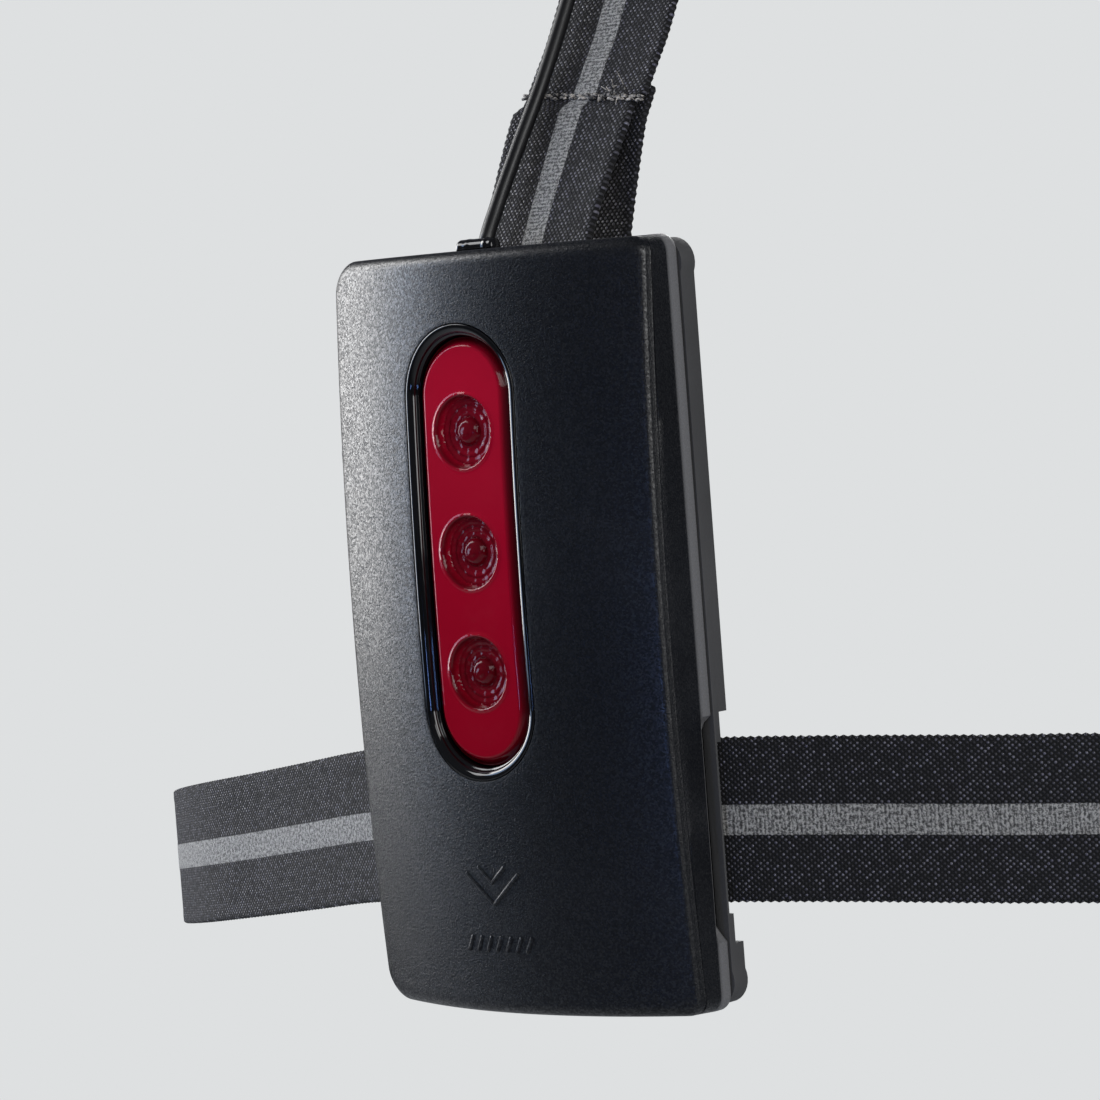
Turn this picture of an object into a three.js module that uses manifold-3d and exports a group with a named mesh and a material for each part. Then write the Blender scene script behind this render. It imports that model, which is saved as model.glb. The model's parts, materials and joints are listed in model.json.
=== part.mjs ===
// A body-worn running lamp: a battery and tail-light unit for the back, a white lamp for the chest,
// a belt round the waist and two shoulder straps that meet in a yoke above the rear unit.
// Millimetres, +Z up, +Y from the wearer's back to the chest, +X to the wearer's right.
// The origin is the middle of the rear pad, on the face that rests on the wearer.
import * as THREE from "three";
import { mergeVertices } from "three/addons/utils/BufferGeometryUtils.js";
import Module from "manifold-3d";

const wasm = await Module();
wasm.setup();

// Driving dimensions

const gap = 0.3; // air between pieces that touch
const loopGap = 0.5; // air between a bar and the webbing that turns round it

const unit = {
  halfWidth: 32.1, // at the parting line
  ridgeHalf: 31.3, // where the crowned face meets the side
  halfHeight: 58.4,
  crown: 7, // the face's rise from its ridges to its middle
  bow: 2.1, // how far the face falls back at 55 mm above or below the middle
  ridge: -18.8,
  parting: -9.6,
  back: -6,
  wall: 1.8,
  corner: 5,
};

const window = {
  middle: 12.7, // height of the middle LED
  pitch: 18.35,
  radius: 10.7,
  length: 69,
  sunk: 1.8,
};

const webbing = { width: 25, narrow: 20, thickness: 1.3 };

const channel = { height: 35, middle: -31, depth: 1.9 };

const torso = { halfWidth: 173.2, halfDepth: 115.6, middle: 114 };

const strapTilt = Math.PI / 6; // the rear strap leans this far towards the shoulders
const yokeHeight = 132;
const strapOffset = 14.3; // from the middle to each shoulder strap on the chest

const lamp = { width: 50, height: 38, middle: -62, back: 236, front: 256, wall: 2 };
const lampBase = { width: 62, top: -34.2, bottom: -87.2, back: 232.3, front: 235.3 };
const lampHinge = { y: 239.5, z: -84.6, radius: 3.2, pin: 1.5 };

const leadRadius = 1.2;

// Materials

function finish(color, roughness, metalness = 0) {
  return new THREE.MeshStandardMaterial({ color, roughness, metalness });
}

const grained = finish(0x1d2126, 0.45);
const matte = finish(0x303236, 0.7);
const glossy = finish(0x08080a, 0.12);
const redClear = finish(0xa0081c, 0.08);
const clear = finish(0xdfe6ea, 0.05);
const silver = finish(0xc9ccd0, 0.2, 0.9);
const steel = finish(0x8f9296, 0.35, 0.9);
const rubber = finish(0x141416, 0.85);
const foam = finish(0x1b1b1e, 0.95);
const cloth = finish(0x17171b, 0.9);
const circuit = finish(0x0f3d24, 0.5);
const cellWrap = finish(0x4a6f9a, 0.5);
const led = finish(0xe8e0b0, 0.3);

const part = new THREE.Group();

// Booleans

function solid(geometry) {
  const bare = geometry.index ? geometry.toNonIndexed() : geometry.clone();
  bare.deleteAttribute("normal");
  bare.deleteAttribute("uv");
  const merged = mergeVertices(bare, 1e-4);
  const data = {
    numProp: 3,
    vertProperties: merged.attributes.position.array,
    triVerts: new Uint32Array(merged.index.array),
  };
  return new wasm.Manifold(new wasm.Mesh(data));
}

function geometryOf(body) {
  const made = body.getMesh();
  const geometry = new THREE.BufferGeometry();
  geometry.setAttribute("position", new THREE.BufferAttribute(made.vertProperties, 3));
  geometry.setIndex(new THREE.BufferAttribute(made.triVerts, 1));
  return geometry;
}

const join = (first, ...others) => others.reduce((all, other) => all.add(other), first);
const cut = (first, ...others) => others.reduce((all, other) => all.subtract(other), first);

function addNode(name, body, material, parent = part) {
  const geometry = body.isBufferGeometry ? body : geometryOf(body);
  geometry.computeVertexNormals();
  const mesh = new THREE.Mesh(geometry, material);
  mesh.name = name;
  parent.add(mesh);
  return mesh;
}

// Outlines

function roundedRect(width, height, radius) {
  const x = width / 2;
  const y = height / 2;
  const shape = new THREE.Shape();
  shape.moveTo(-x + radius, -y);
  shape.lineTo(x - radius, -y);
  shape.absarc(x - radius, -y + radius, radius, -Math.PI / 2, 0);
  shape.lineTo(x, y - radius);
  shape.absarc(x - radius, y - radius, radius, 0, Math.PI / 2);
  shape.lineTo(-x + radius, y);
  shape.absarc(-x + radius, y - radius, radius, Math.PI / 2, Math.PI);
  shape.lineTo(-x, -y + radius);
  shape.absarc(-x + radius, -y + radius, radius, Math.PI, 1.5 * Math.PI);
  return shape;
}

const slot = (width, length) => roundedRect(width, length, width / 2 - 0.01);

// A flat band of one thickness along a line of points.
function band(points, thickness) {
  const half = thickness / 2;
  const path = points.map(([u, v]) => new THREE.Vector2(u, v));
  const sides = path.map((point, i) => {
    const before = path[Math.max(i - 1, 0)];
    const after = path[Math.min(i + 1, path.length - 1)];
    const into = point.clone().sub(before);
    const out = after.clone().sub(point);
    if (i === 0) into.copy(out);
    if (i === path.length - 1) out.copy(into);
    const miter = into.normalize().add(out.normalize()).normalize();
    const reach = half / Math.max(miter.dot(out), 0.5);
    return new THREE.Vector2(-miter.y, miter.x).multiplyScalar(reach);
  });
  const left = path.map((point, i) => point.clone().add(sides[i]));
  const right = path.map((point, i) => point.clone().sub(sides[i]));
  return new THREE.Shape([...left, ...right.reverse()]);
}

// Points on the way round a bar of half sizes u and v: a superellipse that clears the bar's corners.
function turnAround(middle, half, from, to, steps) {
  const reach = loopGap + webbing.thickness / 2;
  const points = [];
  for (let i = 0; i <= steps; i += 1) {
    const angle = from + ((to - from) * i) / steps;
    const c = Math.cos(angle);
    const s = Math.sin(angle);
    const u = Math.sign(c) * Math.abs(c) ** (2 / 3);
    const v = Math.sign(s) * Math.abs(s) ** (2 / 3);
    points.push([middle[0] + (half[0] + reach) * u, middle[1] + (half[1] + reach) * v]);
  }
  return points;
}

// Extrusions

function extrude(shape, depth, curveSegments = 6) {
  return new THREE.ExtrudeGeometry(shape, { depth, bevelEnabled: false, curveSegments });
}

// An outline in X and Z, from the front face at y = front to the back face at y = back.
function slab(shape, front, back, z = 0, x = 0, curveSegments = 6) {
  const geometry = extrude(shape, back - front, curveSegments);
  geometry.rotateX(Math.PI / 2);
  return solid(geometry.translate(x, back, z));
}

// An outline in Y and Z, carried along X.
function prism(shape, from, to) {
  const geometry = extrude(shape, to - from);
  const turn = new THREE.Matrix4().makeBasis(
    new THREE.Vector3(0, 1, 0),
    new THREE.Vector3(0, 0, 1),
    new THREE.Vector3(1, 0, 0),
  );
  return solid(geometry.applyMatrix4(turn).translate(from, 0, 0));
}

// An outline in X and Y, carried up Z.
function column(shape, from, to) {
  return solid(extrude(shape, to - from).translate(0, 0, from));
}

function box(x0, x1, y0, y1, z0, z1) {
  const geometry = new THREE.BoxGeometry(x1 - x0, y1 - y0, z1 - z0);
  return solid(geometry.translate((x0 + x1) / 2, (y0 + y1) / 2, (z0 + z1) / 2));
}

// A cylinder along Y or X, between two coordinates.
function rodY(radius, y0, y1, x, z, segments = 16) {
  const geometry = new THREE.CylinderGeometry(radius, radius, y1 - y0, segments);
  return solid(geometry.translate(x, (y0 + y1) / 2, z));
}

function rodX(radius, x0, x1, y, z, segments = 20) {
  const geometry = new THREE.CylinderGeometry(radius, radius, x1 - x0, segments);
  geometry.rotateZ(Math.PI / 2);
  return solid(geometry.translate((x0 + x1) / 2, y, z));
}

// The crowned face: a parabola across and a second one up and down.
function faceAt(x, z, depth = 0) {
  const across = unit.crown * (1 - (x / unit.ridgeHalf) ** 2);
  return unit.ridge + unit.bow * (z / 55) ** 2 - Math.max(across, 0) + depth;
}

// A block whose front is the face's surface, sunk by a depth, and whose back is flat.
function crowned(halfFront, halfBack, halfHeight, depth, back, middle = 0, flat = false) {
  const columns = flat ? 1 : 14;
  const rows = 12;
  const geometry = new THREE.BoxGeometry(2, 1, 2, columns, 1, rows);
  const place = geometry.attributes.position;
  for (let i = 0; i < place.count; i += 1) {
    const isBack = place.getY(i) > 0;
    const x = place.getX(i) * (isBack ? halfBack : halfFront);
    const z = middle + place.getZ(i) * halfHeight;
    const y = isBack ? back : faceAt(flat ? 0 : x, z, depth);
    place.setXYZ(i, x, y, z);
  }
  return solid(geometry);
}

// Webbing that follows a curve through points, its flat side facing each point's outward direction.
function ribbon(points, outward, width, steps) {
  const route = new THREE.CatmullRomCurve3(points.map((p) => new THREE.Vector3(...p)));
  const facing = new THREE.CatmullRomCurve3(outward.map((p) => new THREE.Vector3(...p)));
  const corners = [];
  for (let i = 0; i <= steps; i += 1) {
    const t = i / steps;
    const along = route.getTangent(t);
    const across = new THREE.Vector3().crossVectors(along, facing.getPoint(t)).normalize();
    const normal = new THREE.Vector3().crossVectors(across, along).normalize();
    for (const [u, v] of [[1, 1], [-1, 1], [-1, -1], [1, -1]]) {
      const corner = route.getPoint(t);
      corner.addScaledVector(across, (u * width) / 2);
      corner.addScaledVector(normal, (v * webbing.thickness) / 2);
      corners.push(...corner);
    }
  }
  const faces = [0, 1, 2, 0, 2, 3];
  const last = 4 * steps;
  faces.push(last, last + 2, last + 1, last, last + 3, last + 2);
  for (let i = 0; i < steps; i += 1) {
    for (let side = 0; side < 4; side += 1) {
      const a = 4 * i + side;
      const b = 4 * i + ((side + 1) % 4);
      faces.push(a, a + 4, b, b, a + 4, b + 4);
    }
  }
  const geometry = new THREE.BufferGeometry();
  geometry.setAttribute("position", new THREE.Float32BufferAttribute(corners, 3));
  geometry.setIndex(faces);
  return solid(geometry);
}

// Rear unit: casing

function makeFrontCover() {
  const outline = roundedRect(2 * unit.halfWidth, 2 * unit.halfHeight, unit.corner);
  const outer = crowned(unit.ridgeHalf, unit.halfWidth, unit.halfHeight, 0, unit.parting)
    .intersect(slab(outline, -40, unit.parting));
  const wall = unit.wall;
  const inner = crowned(
    unit.ridgeHalf - wall,
    unit.halfWidth - wall,
    unit.halfHeight - wall,
    wall,
    unit.parting + 1,
  ).intersect(slab(roundedRect(60.6, 113.2, 3.5), -40, unit.parting + 1));
  const opening = slab(slot(2 * window.radius + 0.6, window.length + 0.6), -40, -15, window.middle);
  const port = box(-40, -26, -15.3, -11.3, 14, 26);
  let cover = cut(outer, inner, opening, port);
  for (const [x, z] of bosses) {
    const boss = rodY(3, faceAt(x, z, 1), unit.parting, x, z, 12);
    const bore = rodY(1.4, -15.5, unit.parting + 1, x, z, 10);
    cover = join(cover, boss.intersect(outer)).subtract(bore);
  }
  return cover;
}

const bosses = [[-25.5, -51.5], [25.5, -51.5], [-25.5, 53], [25.5, 53]];

function makeRearShell() {
  const front = unit.parting + gap;
  const outline = roundedRect(2 * unit.halfWidth, 2 * unit.halfHeight - 1.6, unit.corner);
  const body = slab(outline, front, unit.back);
  const upper = slab(roundedRect(59, 63, 3), front - 1, unit.back - 1.6, 22.5);
  const lower = slab(roundedRect(59, 6.6, 2), front - 1, unit.back - 1.6, -52.5);
  const half = channel.height / 2;
  const low = channel.middle - half;
  const high = channel.middle + half;
  const trench = box(-40, 40, unit.back - channel.depth, unit.back + 1, low, high);
  const mouths = [-1, 1].map((side) => {
    const inner = side * 29;
    const outer = side * 40;
    const from = Math.min(inner, outer);
    return box(from, from + 11, unit.back - 2.9, unit.back + 1, low + 4.5, high - 4.5);
  });
  const posts = bosses.map(([x, z]) => rodY(3.7, front, unit.back - 1.5, x, z, 16));
  let shell = cut(join(cut(body, upper, lower), ...posts), trench, ...mouths);
  for (const [x, z] of bosses) {
    shell = cut(shell, rodY(1.6, -12, -4, x, z, 12), rodY(2.6, unit.back - 1.45, -4, x, z, 16));
  }
  return shell;
}

function makeScrew(x, z) {
  const head = rodY(2.2, unit.back - 1.3, unit.back - 0.1, x, z, 14);
  return join(head, rodY(1.1, -15, unit.back - 1, x, z, 10));
}

// Rear unit: tail light

function makeLensBezel() {
  const { radius, length, middle } = window;
  const ring = crowned(14, 14, 40, -0.2, -21.1, middle);
  const sleeve = ring.intersect(slab(slot(2 * radius, length), -40, -20, middle));
  const flange = slab(slot(2 * radius + 4, length + 4), -21.2, -19.6, middle);
  const hole = slab(slot(2 * radius - 3.4, length - 3.4), -40, -10, middle);
  return cut(join(sleeve, flange), hole);
}

function makeTailLens() {
  const { radius, length, middle, sunk } = window;
  const body = crowned(12, 12, 36, sunk, -19.6, middle, true);
  return body.intersect(slab(slot(2 * radius - 4, length - 4), -40, -19.6, middle));
}

function makeLensGasket() {
  const { radius, length, middle } = window;
  const ring = slab(slot(2 * radius + 3, length + 3), -19.3, -18.3, middle);
  return cut(ring, slab(slot(2 * radius - 5, length - 5), -20, -17, middle));
}

function makeReflectorTray() {
  const { radius, length, middle, pitch } = window;
  let tray = slab(slot(2 * radius + 3, length + 3), -18, -14.6, middle);
  for (const step of [-1, 0, 1]) {
    const bowl = new THREE.CylinderGeometry(2.2, 6.2, 3.6, 20);
    tray = cut(tray, solid(bowl.translate(0, -16.3, middle + step * pitch)));
  }
  return tray;
}

function makeTailLed(step) {
  const z = window.middle + step * window.pitch;
  const base = box(-1.75, 1.75, -14, -13.4, z - 1.4, z + 1.4);
  const dome = new THREE.SphereGeometry(1.3, 12, 8).translate(0, -14.1, z);
  return join(base, solid(dome).intersect(box(-3, 3, -17, -13.6, z - 3, z + 3)));
}

function makeRearUnit() {
  addNode("front_cover", makeFrontCover(), grained);
  addNode("rear_shell", makeRearShell(), matte);
  bosses.forEach(([x, z], i) => addNode(`screw_${i + 1}`, makeScrew(x, z), steel));
  addNode("lens_bezel", makeLensBezel(), glossy);
  addNode("tail_lens", makeTailLens(), redClear);
  addNode("lens_gasket", makeLensGasket(), rubber);
  addNode("reflector_tray", makeReflectorTray(), redClear);
  addNode("led_board", slab(roundedRect(22, 66, 3), -13.1, -11.9, window.middle), circuit);
  for (const step of [1, 0, -1]) {
    addNode(`tail_led_${2 - step}`, makeTailLed(step), led);
  }
  addNode("battery_cell", slab(roundedRect(40, 26, 2), -19.4, -9.9, -37.5), cellWrap);
  addNode("charge_board", box(-27.2, -13.2, -11.2, -10.1, 2, 40), circuit);
  const socket = box(-29.4, -23, -14.7, -11.9, 15.5, 24.5);
  addNode("usb_socket", cut(socket, box(-31, -24, -14.1, -12.5, 16.3, 23.7)), steel);
  addNode("usb_cover", box(-33.4, -32.4, -15.9, -10.5, 11, 29), rubber);
}

// Rear unit: what rests on the wearer, and what holds the belt and the strap

const bar = { y: 0.7, z: 55.3, halfDepth: 3.2, halfHeight: 1.8 };

function makeBackPlate() {
  const plate = slab(roundedRect(50, 98, 6), unit.back + gap, -4.2, -3);
  const rail = new THREE.Shape().absellipse(bar.y, bar.z, bar.halfDepth, bar.halfHeight, 0, 2 * Math.PI);
  const arms = [-1, 1].map((side) => {
    const inner = side * 15;
    const outer = side * 18.4;
    const [from, to] = [Math.min(inner, outer), Math.max(inner, outer)];
    const foot = box(from, to, unit.back + gap, -3.4, 44.6, 57);
    return join(foot, box(from, to, unit.back + gap, 4.1, 50.5, 57));
  });
  return join(plate, prism(rail, -17.5, 17.5), ...arms);
}

// The loop's webbing goes round the bar and is sewn to itself, then runs up to the yoke.
function rearStrapPoint(height, offset = 0) {
  const rise = height - 82;
  const lean = Math.tan(strapTilt);
  return [12.2 + rise * lean - offset * Math.cos(strapTilt), height + offset * Math.sin(strapTilt)];
}

function makeRearStrap() {
  const half = webbing.thickness / 2;
  const turn = turnAround([bar.y, bar.z], [bar.halfDepth, bar.halfHeight], Math.PI, 2 * Math.PI, 10);
  const outer = band([rearStrapPoint(yokeHeight - 14), rearStrapPoint(83, half), ...turn.slice(0, 7)],
    webbing.thickness);
  const inner = band([...turn.slice(5), rearStrapPoint(81, -half), rearStrapPoint(84, -half)],
    webbing.thickness);
  const reach = webbing.width / 2;
  return join(prism(outer, -reach, reach), prism(inner, -reach, reach));
}

function makeCarrier() {
  addNode("back_plate", makeBackPlate(), matte);
  addNode("back_pad", slab(roundedRect(48, 90, 9), -3.9, 0, -3), foam);
  addNode("rear_strap", makeRearStrap(), cloth);
  const gland = new THREE.CapsuleGeometry(1.5, 5.6, 4, 10);
  addNode("cable_gland", gland.rotateZ(Math.PI / 2).translate(-9.4, -6.4, 60.2), rubber);
}

// Yoke, in a group that leans with the rear strap; Y points to the wearer in it

function makeYoke() {
  const yoke = new THREE.Group();
  const [y, z] = rearStrapPoint(yokeHeight);
  yoke.position.set(0, y, z);
  yoke.rotation.x = -strapTilt;
  const outline = new THREE.Shape();
  outline.moveTo(-14, -15);
  outline.lineTo(14, -15);
  outline.quadraticCurveTo(17, 4, 29, 13);
  outline.quadraticCurveTo(30, 18, 25, 19);
  outline.quadraticCurveTo(0, 12, -25, 19);
  outline.quadraticCurveTo(-30, 18, -29, 13);
  outline.quadraticCurveTo(-17, 4, -14, -15);
  addNode("yoke_outer", slab(outline, -2.4, -1), matte, yoke);
  addNode("yoke_inner", slab(outline, 1.3, 2.5), foam, yoke);
  part.add(yoke);
}

// Shoulder straps, from the chest lamp's top bars to the yoke

const chestY = 230.9;

function shoulderRoute(side) {
  const points = [
    [14.3, chestY, 8], [14.3, chestY, 40], [14.3, chestY, 72], [14.3, chestY, 104],
    [19, 229.6, 124], [32, 222, 149], [51, 203, 180], [65, 173, 203],
    [71, 140, 213], [69, 108, 206], [58, 81, 186], [41, 61.2, 163], [20, 48.9, 145.5],
  ];
  return points.map(([x, y, z]) => [side * x, y, z]);
}

function shoulderFacing(side) {
  const rear = [0, -Math.cos(strapTilt), Math.sin(strapTilt)];
  const facing = [
    [0, 1, 0], [0, 1, 0], [0, 1, 0], [0, 1, 0],
    [0, 1, 0.15], [0.05, 0.9, 0.35], [0.12, 0.72, 0.6], [0.15, 0.36, 0.9],
    [0.15, 0, 1], [0.12, -0.4, 0.9], [0.06, -0.68, 0.7], [0, -0.84, 0.54], rear,
  ];
  return facing.map(([x, y, z]) => [side * x, y, z]);
}

const topBar = { y: 233.8, z: -36.1, halfDepth: 1.5, halfHeight: 1.9 };
const sideBar = { x: 29.35, y: 233.8, halfWidth: 1.65, halfDepth: 1.5 };

function makeShoulderStrap(side) {
  const { narrow, thickness } = webbing;
  const strap = ribbon(shoulderRoute(side), shoulderFacing(side), narrow, 44);
  const turn = turnAround([topBar.y, topBar.z], [topBar.halfDepth, topBar.halfHeight], Math.PI, 2 * Math.PI, 8);
  const loop = band([[chestY, 9], [chestY, 0], ...turn, [232.2, 0], [232.1, 20]], thickness);
  const from = side * strapOffset - narrow / 2;
  return join(strap, prism(loop, from, from + narrow));
}

// A ladder slider: bars before and behind the webbing, joined at its sides.
function makeSlider(x) {
  const middle = chestY + 0.65;
  const front = middle + 1.9;
  const back = middle - 1.9;
  const sides = [x - 12.5, x + 10.3].map((from) => box(from, from + 2.2, back - 1.4, front + 1.4, 4, 19));
  const bars = [4, 16.4].map((z) => box(x - 12, x + 12, front, front + 1.4, z, z + 2.6));
  return join(sides[0], sides[1], bars[0], bars[1], box(x - 12, x + 12, back - 1.4, back, 9.7, 13.3));
}

// A keeper holds both shoulder straps and the lead between them.
function makeKeeper(z) {
  const height = 10;
  const body = slab(roundedRect(54, height, 3), chestY - 2.6, chestY + 2.6, z);
  const slots = [-1, 1].map((side) => {
    const x = side * strapOffset;
    return box(x - 10.9, x + 10.9, chestY - 1.1, chestY + 1.1, z - 9, z + 9);
  });
  return cut(body, ...slots, box(-1.7, 1.7, chestY - 1.7, chestY + 1.7, z - 9, z + 9));
}

function makeShoulderHarness() {
  for (const [name, side] of [["left", -1], ["right", 1]]) {
    addNode(`shoulder_strap_${name}`, makeShoulderStrap(side), cloth);
    addNode(`slider_${name}`, makeSlider(side * strapOffset), glossy);
  }
  addNode("keeper_lower", makeKeeper(50), glossy);
  addNode("keeper_upper", makeKeeper(94), glossy);
}

// Belt

function aroundTorso(degrees, height, lift = 0) {
  const angle = (degrees * Math.PI) / 180;
  const x = (torso.halfWidth + lift) * Math.sin(angle);
  const y = torso.middle - (torso.halfDepth + lift) * Math.cos(angle);
  return [x, y, height];
}

const beltHeights = [
  [-160, -64.2], [-140, -62.6], [-120, -59.4], [-100, -55.8], [-80, -53.9],
  [-70, -52.1], [-60, -49.7], [-50, -46.7], [-40, -43.3],
];

function makeBeltLong() {
  const left = [[-37, 229.6, -64], ...beltHeights.map(([degrees, z]) => aroundTorso(degrees, z))];
  const rear = [
    [-88, 16, -39.8], [-70, 8.7, -37], [-50, 0.6, -33.9], [-33, -6.2, -32],
    [-20, -7, -31.4], [0, -7, -30.9], [20, -7, -30.4], [33, -6.2, -30],
    [50, 0.6, -30.5], [70, 8.7, -31.3], [88, 16, -31.9],
  ];
  const right = [[44, -35], [62, -40], [80, -46], [98, -51.6]].map(([degrees, z]) => aroundTorso(degrees, z));
  const toSocket = [[167.2, 151.5, -56.2], [160.4, 174.3, -59.9], [151.8, 181, -60.4]];
  const points = [...left, ...rear, ...right, ...toSocket];
  const outward = points.map(([x, y]) => new THREE.Vector3(x * 0.45, y - torso.middle, 0).normalize());
  const strap = ribbon(points, outward, webbing.width, 96);
  return join(strap, makeBeltLoop(-1));
}

function makeBeltShort() {
  const points = [
    [37, 229.6, -64], [54, 227.6, -64], [74, 224.4, -63.2], [91, 220.6, -61.6],
    [104.5, 215, -60.5], [115.5, 207.1, -60.4],
  ];
  const outward = points.map(([x, y]) => new THREE.Vector3(x * 0.45, y - torso.middle, 0).normalize());
  return join(ribbon(points, outward, webbing.width, 12), makeBeltLoop(1));
}

// Where the belt turns round the side bar of the chest lamp's base.
function makeBeltLoop(side) {
  const middle = [sideBar.x, sideBar.y];
  const turn = turnAround(middle, [sideBar.halfWidth, sideBar.halfDepth], Math.PI / 2, 1.5 * Math.PI, 8);
  const points = [[52, 226.2], [44, 229.9], [36, 235], ...turn, [33, 230.4], [37, 229.6], [42, 228.2]];
  const half = webbing.width / 2;
  return column(band(points.map(([x, y]) => [side * x, y]), webbing.thickness), -64 - half, -64 + half);
}

// Buckle, in a group that lies along the belt; X points to the plug's end in it

const buckle = { degrees: 133, height: -60.4, lift: 5.2 };

function makeBuckleSocket() {
  const body = box(-28, 6, -4, 4, -16, 16);
  const well = box(-16, 8, -2.4, 2.4, -12.9, 12.9);
  const windows = [-1, 1].map((side) => box(-9, 2, -2.4, 2.4, side > 0 ? 12 : -17, side > 0 ? 17 : -12));
  const webSlot = box(-30, -19, -1.1, 1.1, -13, 13);
  return cut(body, well, webSlot, ...windows);
}

function makeBucklePlug() {
  const body = box(6.6, 26, -3.6, 3.6, -15.5, 15.5);
  const guide = box(-12, 7, -1.8, 1.8, -3, 3);
  const roots = [-1, 1].map((side) => box(6, 13, -4, 4, side > 0 ? 6.4 : -16, side > 0 ? 16 : -6.4));
  const webSlot = box(15, 28, -1.1, 1.1, -13, 13);
  return join(cut(body, webSlot, ...roots), guide);
}

function makeLatch(side) {
  const arm = box(-12, 9.5, -2, 2, side > 0 ? 8.4 : -11.4, side > 0 ? 11.4 : -8.4);
  const lug = box(-8, 0.5, -2, 2, side > 0 ? 10 : -15.2, side > 0 ? 15.2 : -10);
  const pivot = rodY(2.4, -2, 2, 9.5, side * 9.9, 14);
  return join(arm, lug, pivot);
}

function makeBuckle() {
  const group = new THREE.Group();
  const [x, y, z] = aroundTorso(buckle.degrees, buckle.height, buckle.lift);
  group.position.set(x, y, z);
  const angle = (buckle.degrees * Math.PI) / 180;
  const along = new THREE.Vector2(torso.halfWidth * Math.cos(angle), torso.halfDepth * Math.sin(angle));
  group.rotation.z = Math.atan2(along.y, along.x);
  addNode("buckle_socket", makeBuckleSocket(), glossy, group);
  addNode("buckle_plug", makeBucklePlug(), glossy, group);
  addNode("buckle_latch_upper", makeLatch(1), glossy, group);
  addNode("buckle_latch_lower", makeLatch(-1), glossy, group);
  part.add(group);
}

// Chest lamp

function makeLampBase() {
  const height = lampBase.top - lampBase.bottom;
  const middle = (lampBase.top + lampBase.bottom) / 2;
  const plate = slab(roundedRect(lampBase.width, height, 8), lampBase.back, lampBase.front, middle);
  const strapSlots = [-1, 1].map((side) => {
    const x = side * strapOffset;
    return box(x - 10.6, x + 10.6, 230, 240, -41.4, -38);
  });
  const beltSlots = [-1, 1].map((side) => {
    const x = side * 26;
    return box(x - 1.7, x + 1.7, 230, 240, -77.2, -50.8);
  });
  const ears = [-1, 1].map((side) => {
    const [from, to] = side > 0 ? [12, 16] : [-16, -12];
    const foot = box(from, to, lampBase.front - 1, lampHinge.y, -87.2, -81.9);
    const eye = join(foot, rodX(lampHinge.radius, from, to, lampHinge.y, lampHinge.z));
    return cut(eye, rodX(lampHinge.pin + 0.1, from - 1, to + 1, lampHinge.y, lampHinge.z));
  });
  return join(cut(plate, ...strapSlots, ...beltSlots), ...ears);
}

function makeLampBody() {
  const { width, height, middle, back, front, wall } = lamp;
  const outer = slab(roundedRect(width, height, 12), back, front, middle);
  const inner = slab(roundedRect(width - 2 * wall, height - 2 * wall, 10), back + wall, front + 1, middle);
  const knuckle = rodX(lampHinge.radius, -11.6, 11.6, lampHinge.y, lampHinge.z);
  const neck = box(-11.6, 11.6, 236.6, 242, lampHinge.z, -80);
  const bore = rodX(lampHinge.pin + 0.1, -13, 13, lampHinge.y, lampHinge.z);
  const buttonHole = box(-8.3, 8.3, 242.7, 249.3, -46, -42);
  return cut(join(cut(outer, inner), knuckle, neck), bore, buttonHole);
}

function makeLampBezel() {
  const { width, height, middle, front } = lamp;
  const ring = slab(roundedRect(width, height, 12), front + gap, front + 3.6, middle);
  return cut(ring, slab(roundedRect(width - 9, height - 9, 8), front, front + 5, middle));
}

function makeLampReflector() {
  const { width, height, middle, front } = lamp;
  const block = slab(roundedRect(width - 9, height - 9, 8), 246.5, front - 0.4, middle);
  const bowl = new THREE.CylinderGeometry(13.6, 4, 10.4, 24);
  return cut(block, solid(bowl.translate(0, 251.4, middle)));
}

function makeLamp() {
  const { width, height, middle, front } = lamp;
  addNode("lamp_pad", slab(roundedRect(42, 44, 8), 228.2, 232, -62), foam);
  addNode("lamp_base", makeLampBase(), matte);
  addNode("lamp_body", makeLampBody(), grained);
  addNode("lamp_bezel", makeLampBezel(), glossy);
  addNode("lamp_lens", slab(roundedRect(width - 9.6, height - 9.6, 7.7), front, front + 2.4, middle), clear);
  addNode("lamp_reflector", makeLampReflector(), silver);
  addNode("lamp_heat_sink", slab(roundedRect(40, 26, 5), 238.4, 244.4, middle), steel);
  addNode("lamp_led", box(-2.5, 2.5, 244.8, 246, middle - 2.5, middle + 2.5), led);
  const cap = box(-8, 8, 243, 249, -44.6, -41.4);
  addNode("power_button", join(cap, box(-9.2, 9.2, 241.8, 250.2, -46.6, -45.6), box(-8, 8, 243, 249, -46, -44)), rubber);
  addNode("hinge_pin", rodX(lampHinge.pin, -17, 17, lampHinge.y, lampHinge.z), steel);
  const gland = new THREE.CylinderGeometry(2, 2.9, 6, 14).rotateX(Math.PI / 2);
  addNode("lamp_gland", gland.translate(0, 233.8, lampBase.top + gap + 3), rubber);
}

// Lead from the rear unit to the chest lamp, held along the straps all the way

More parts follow.
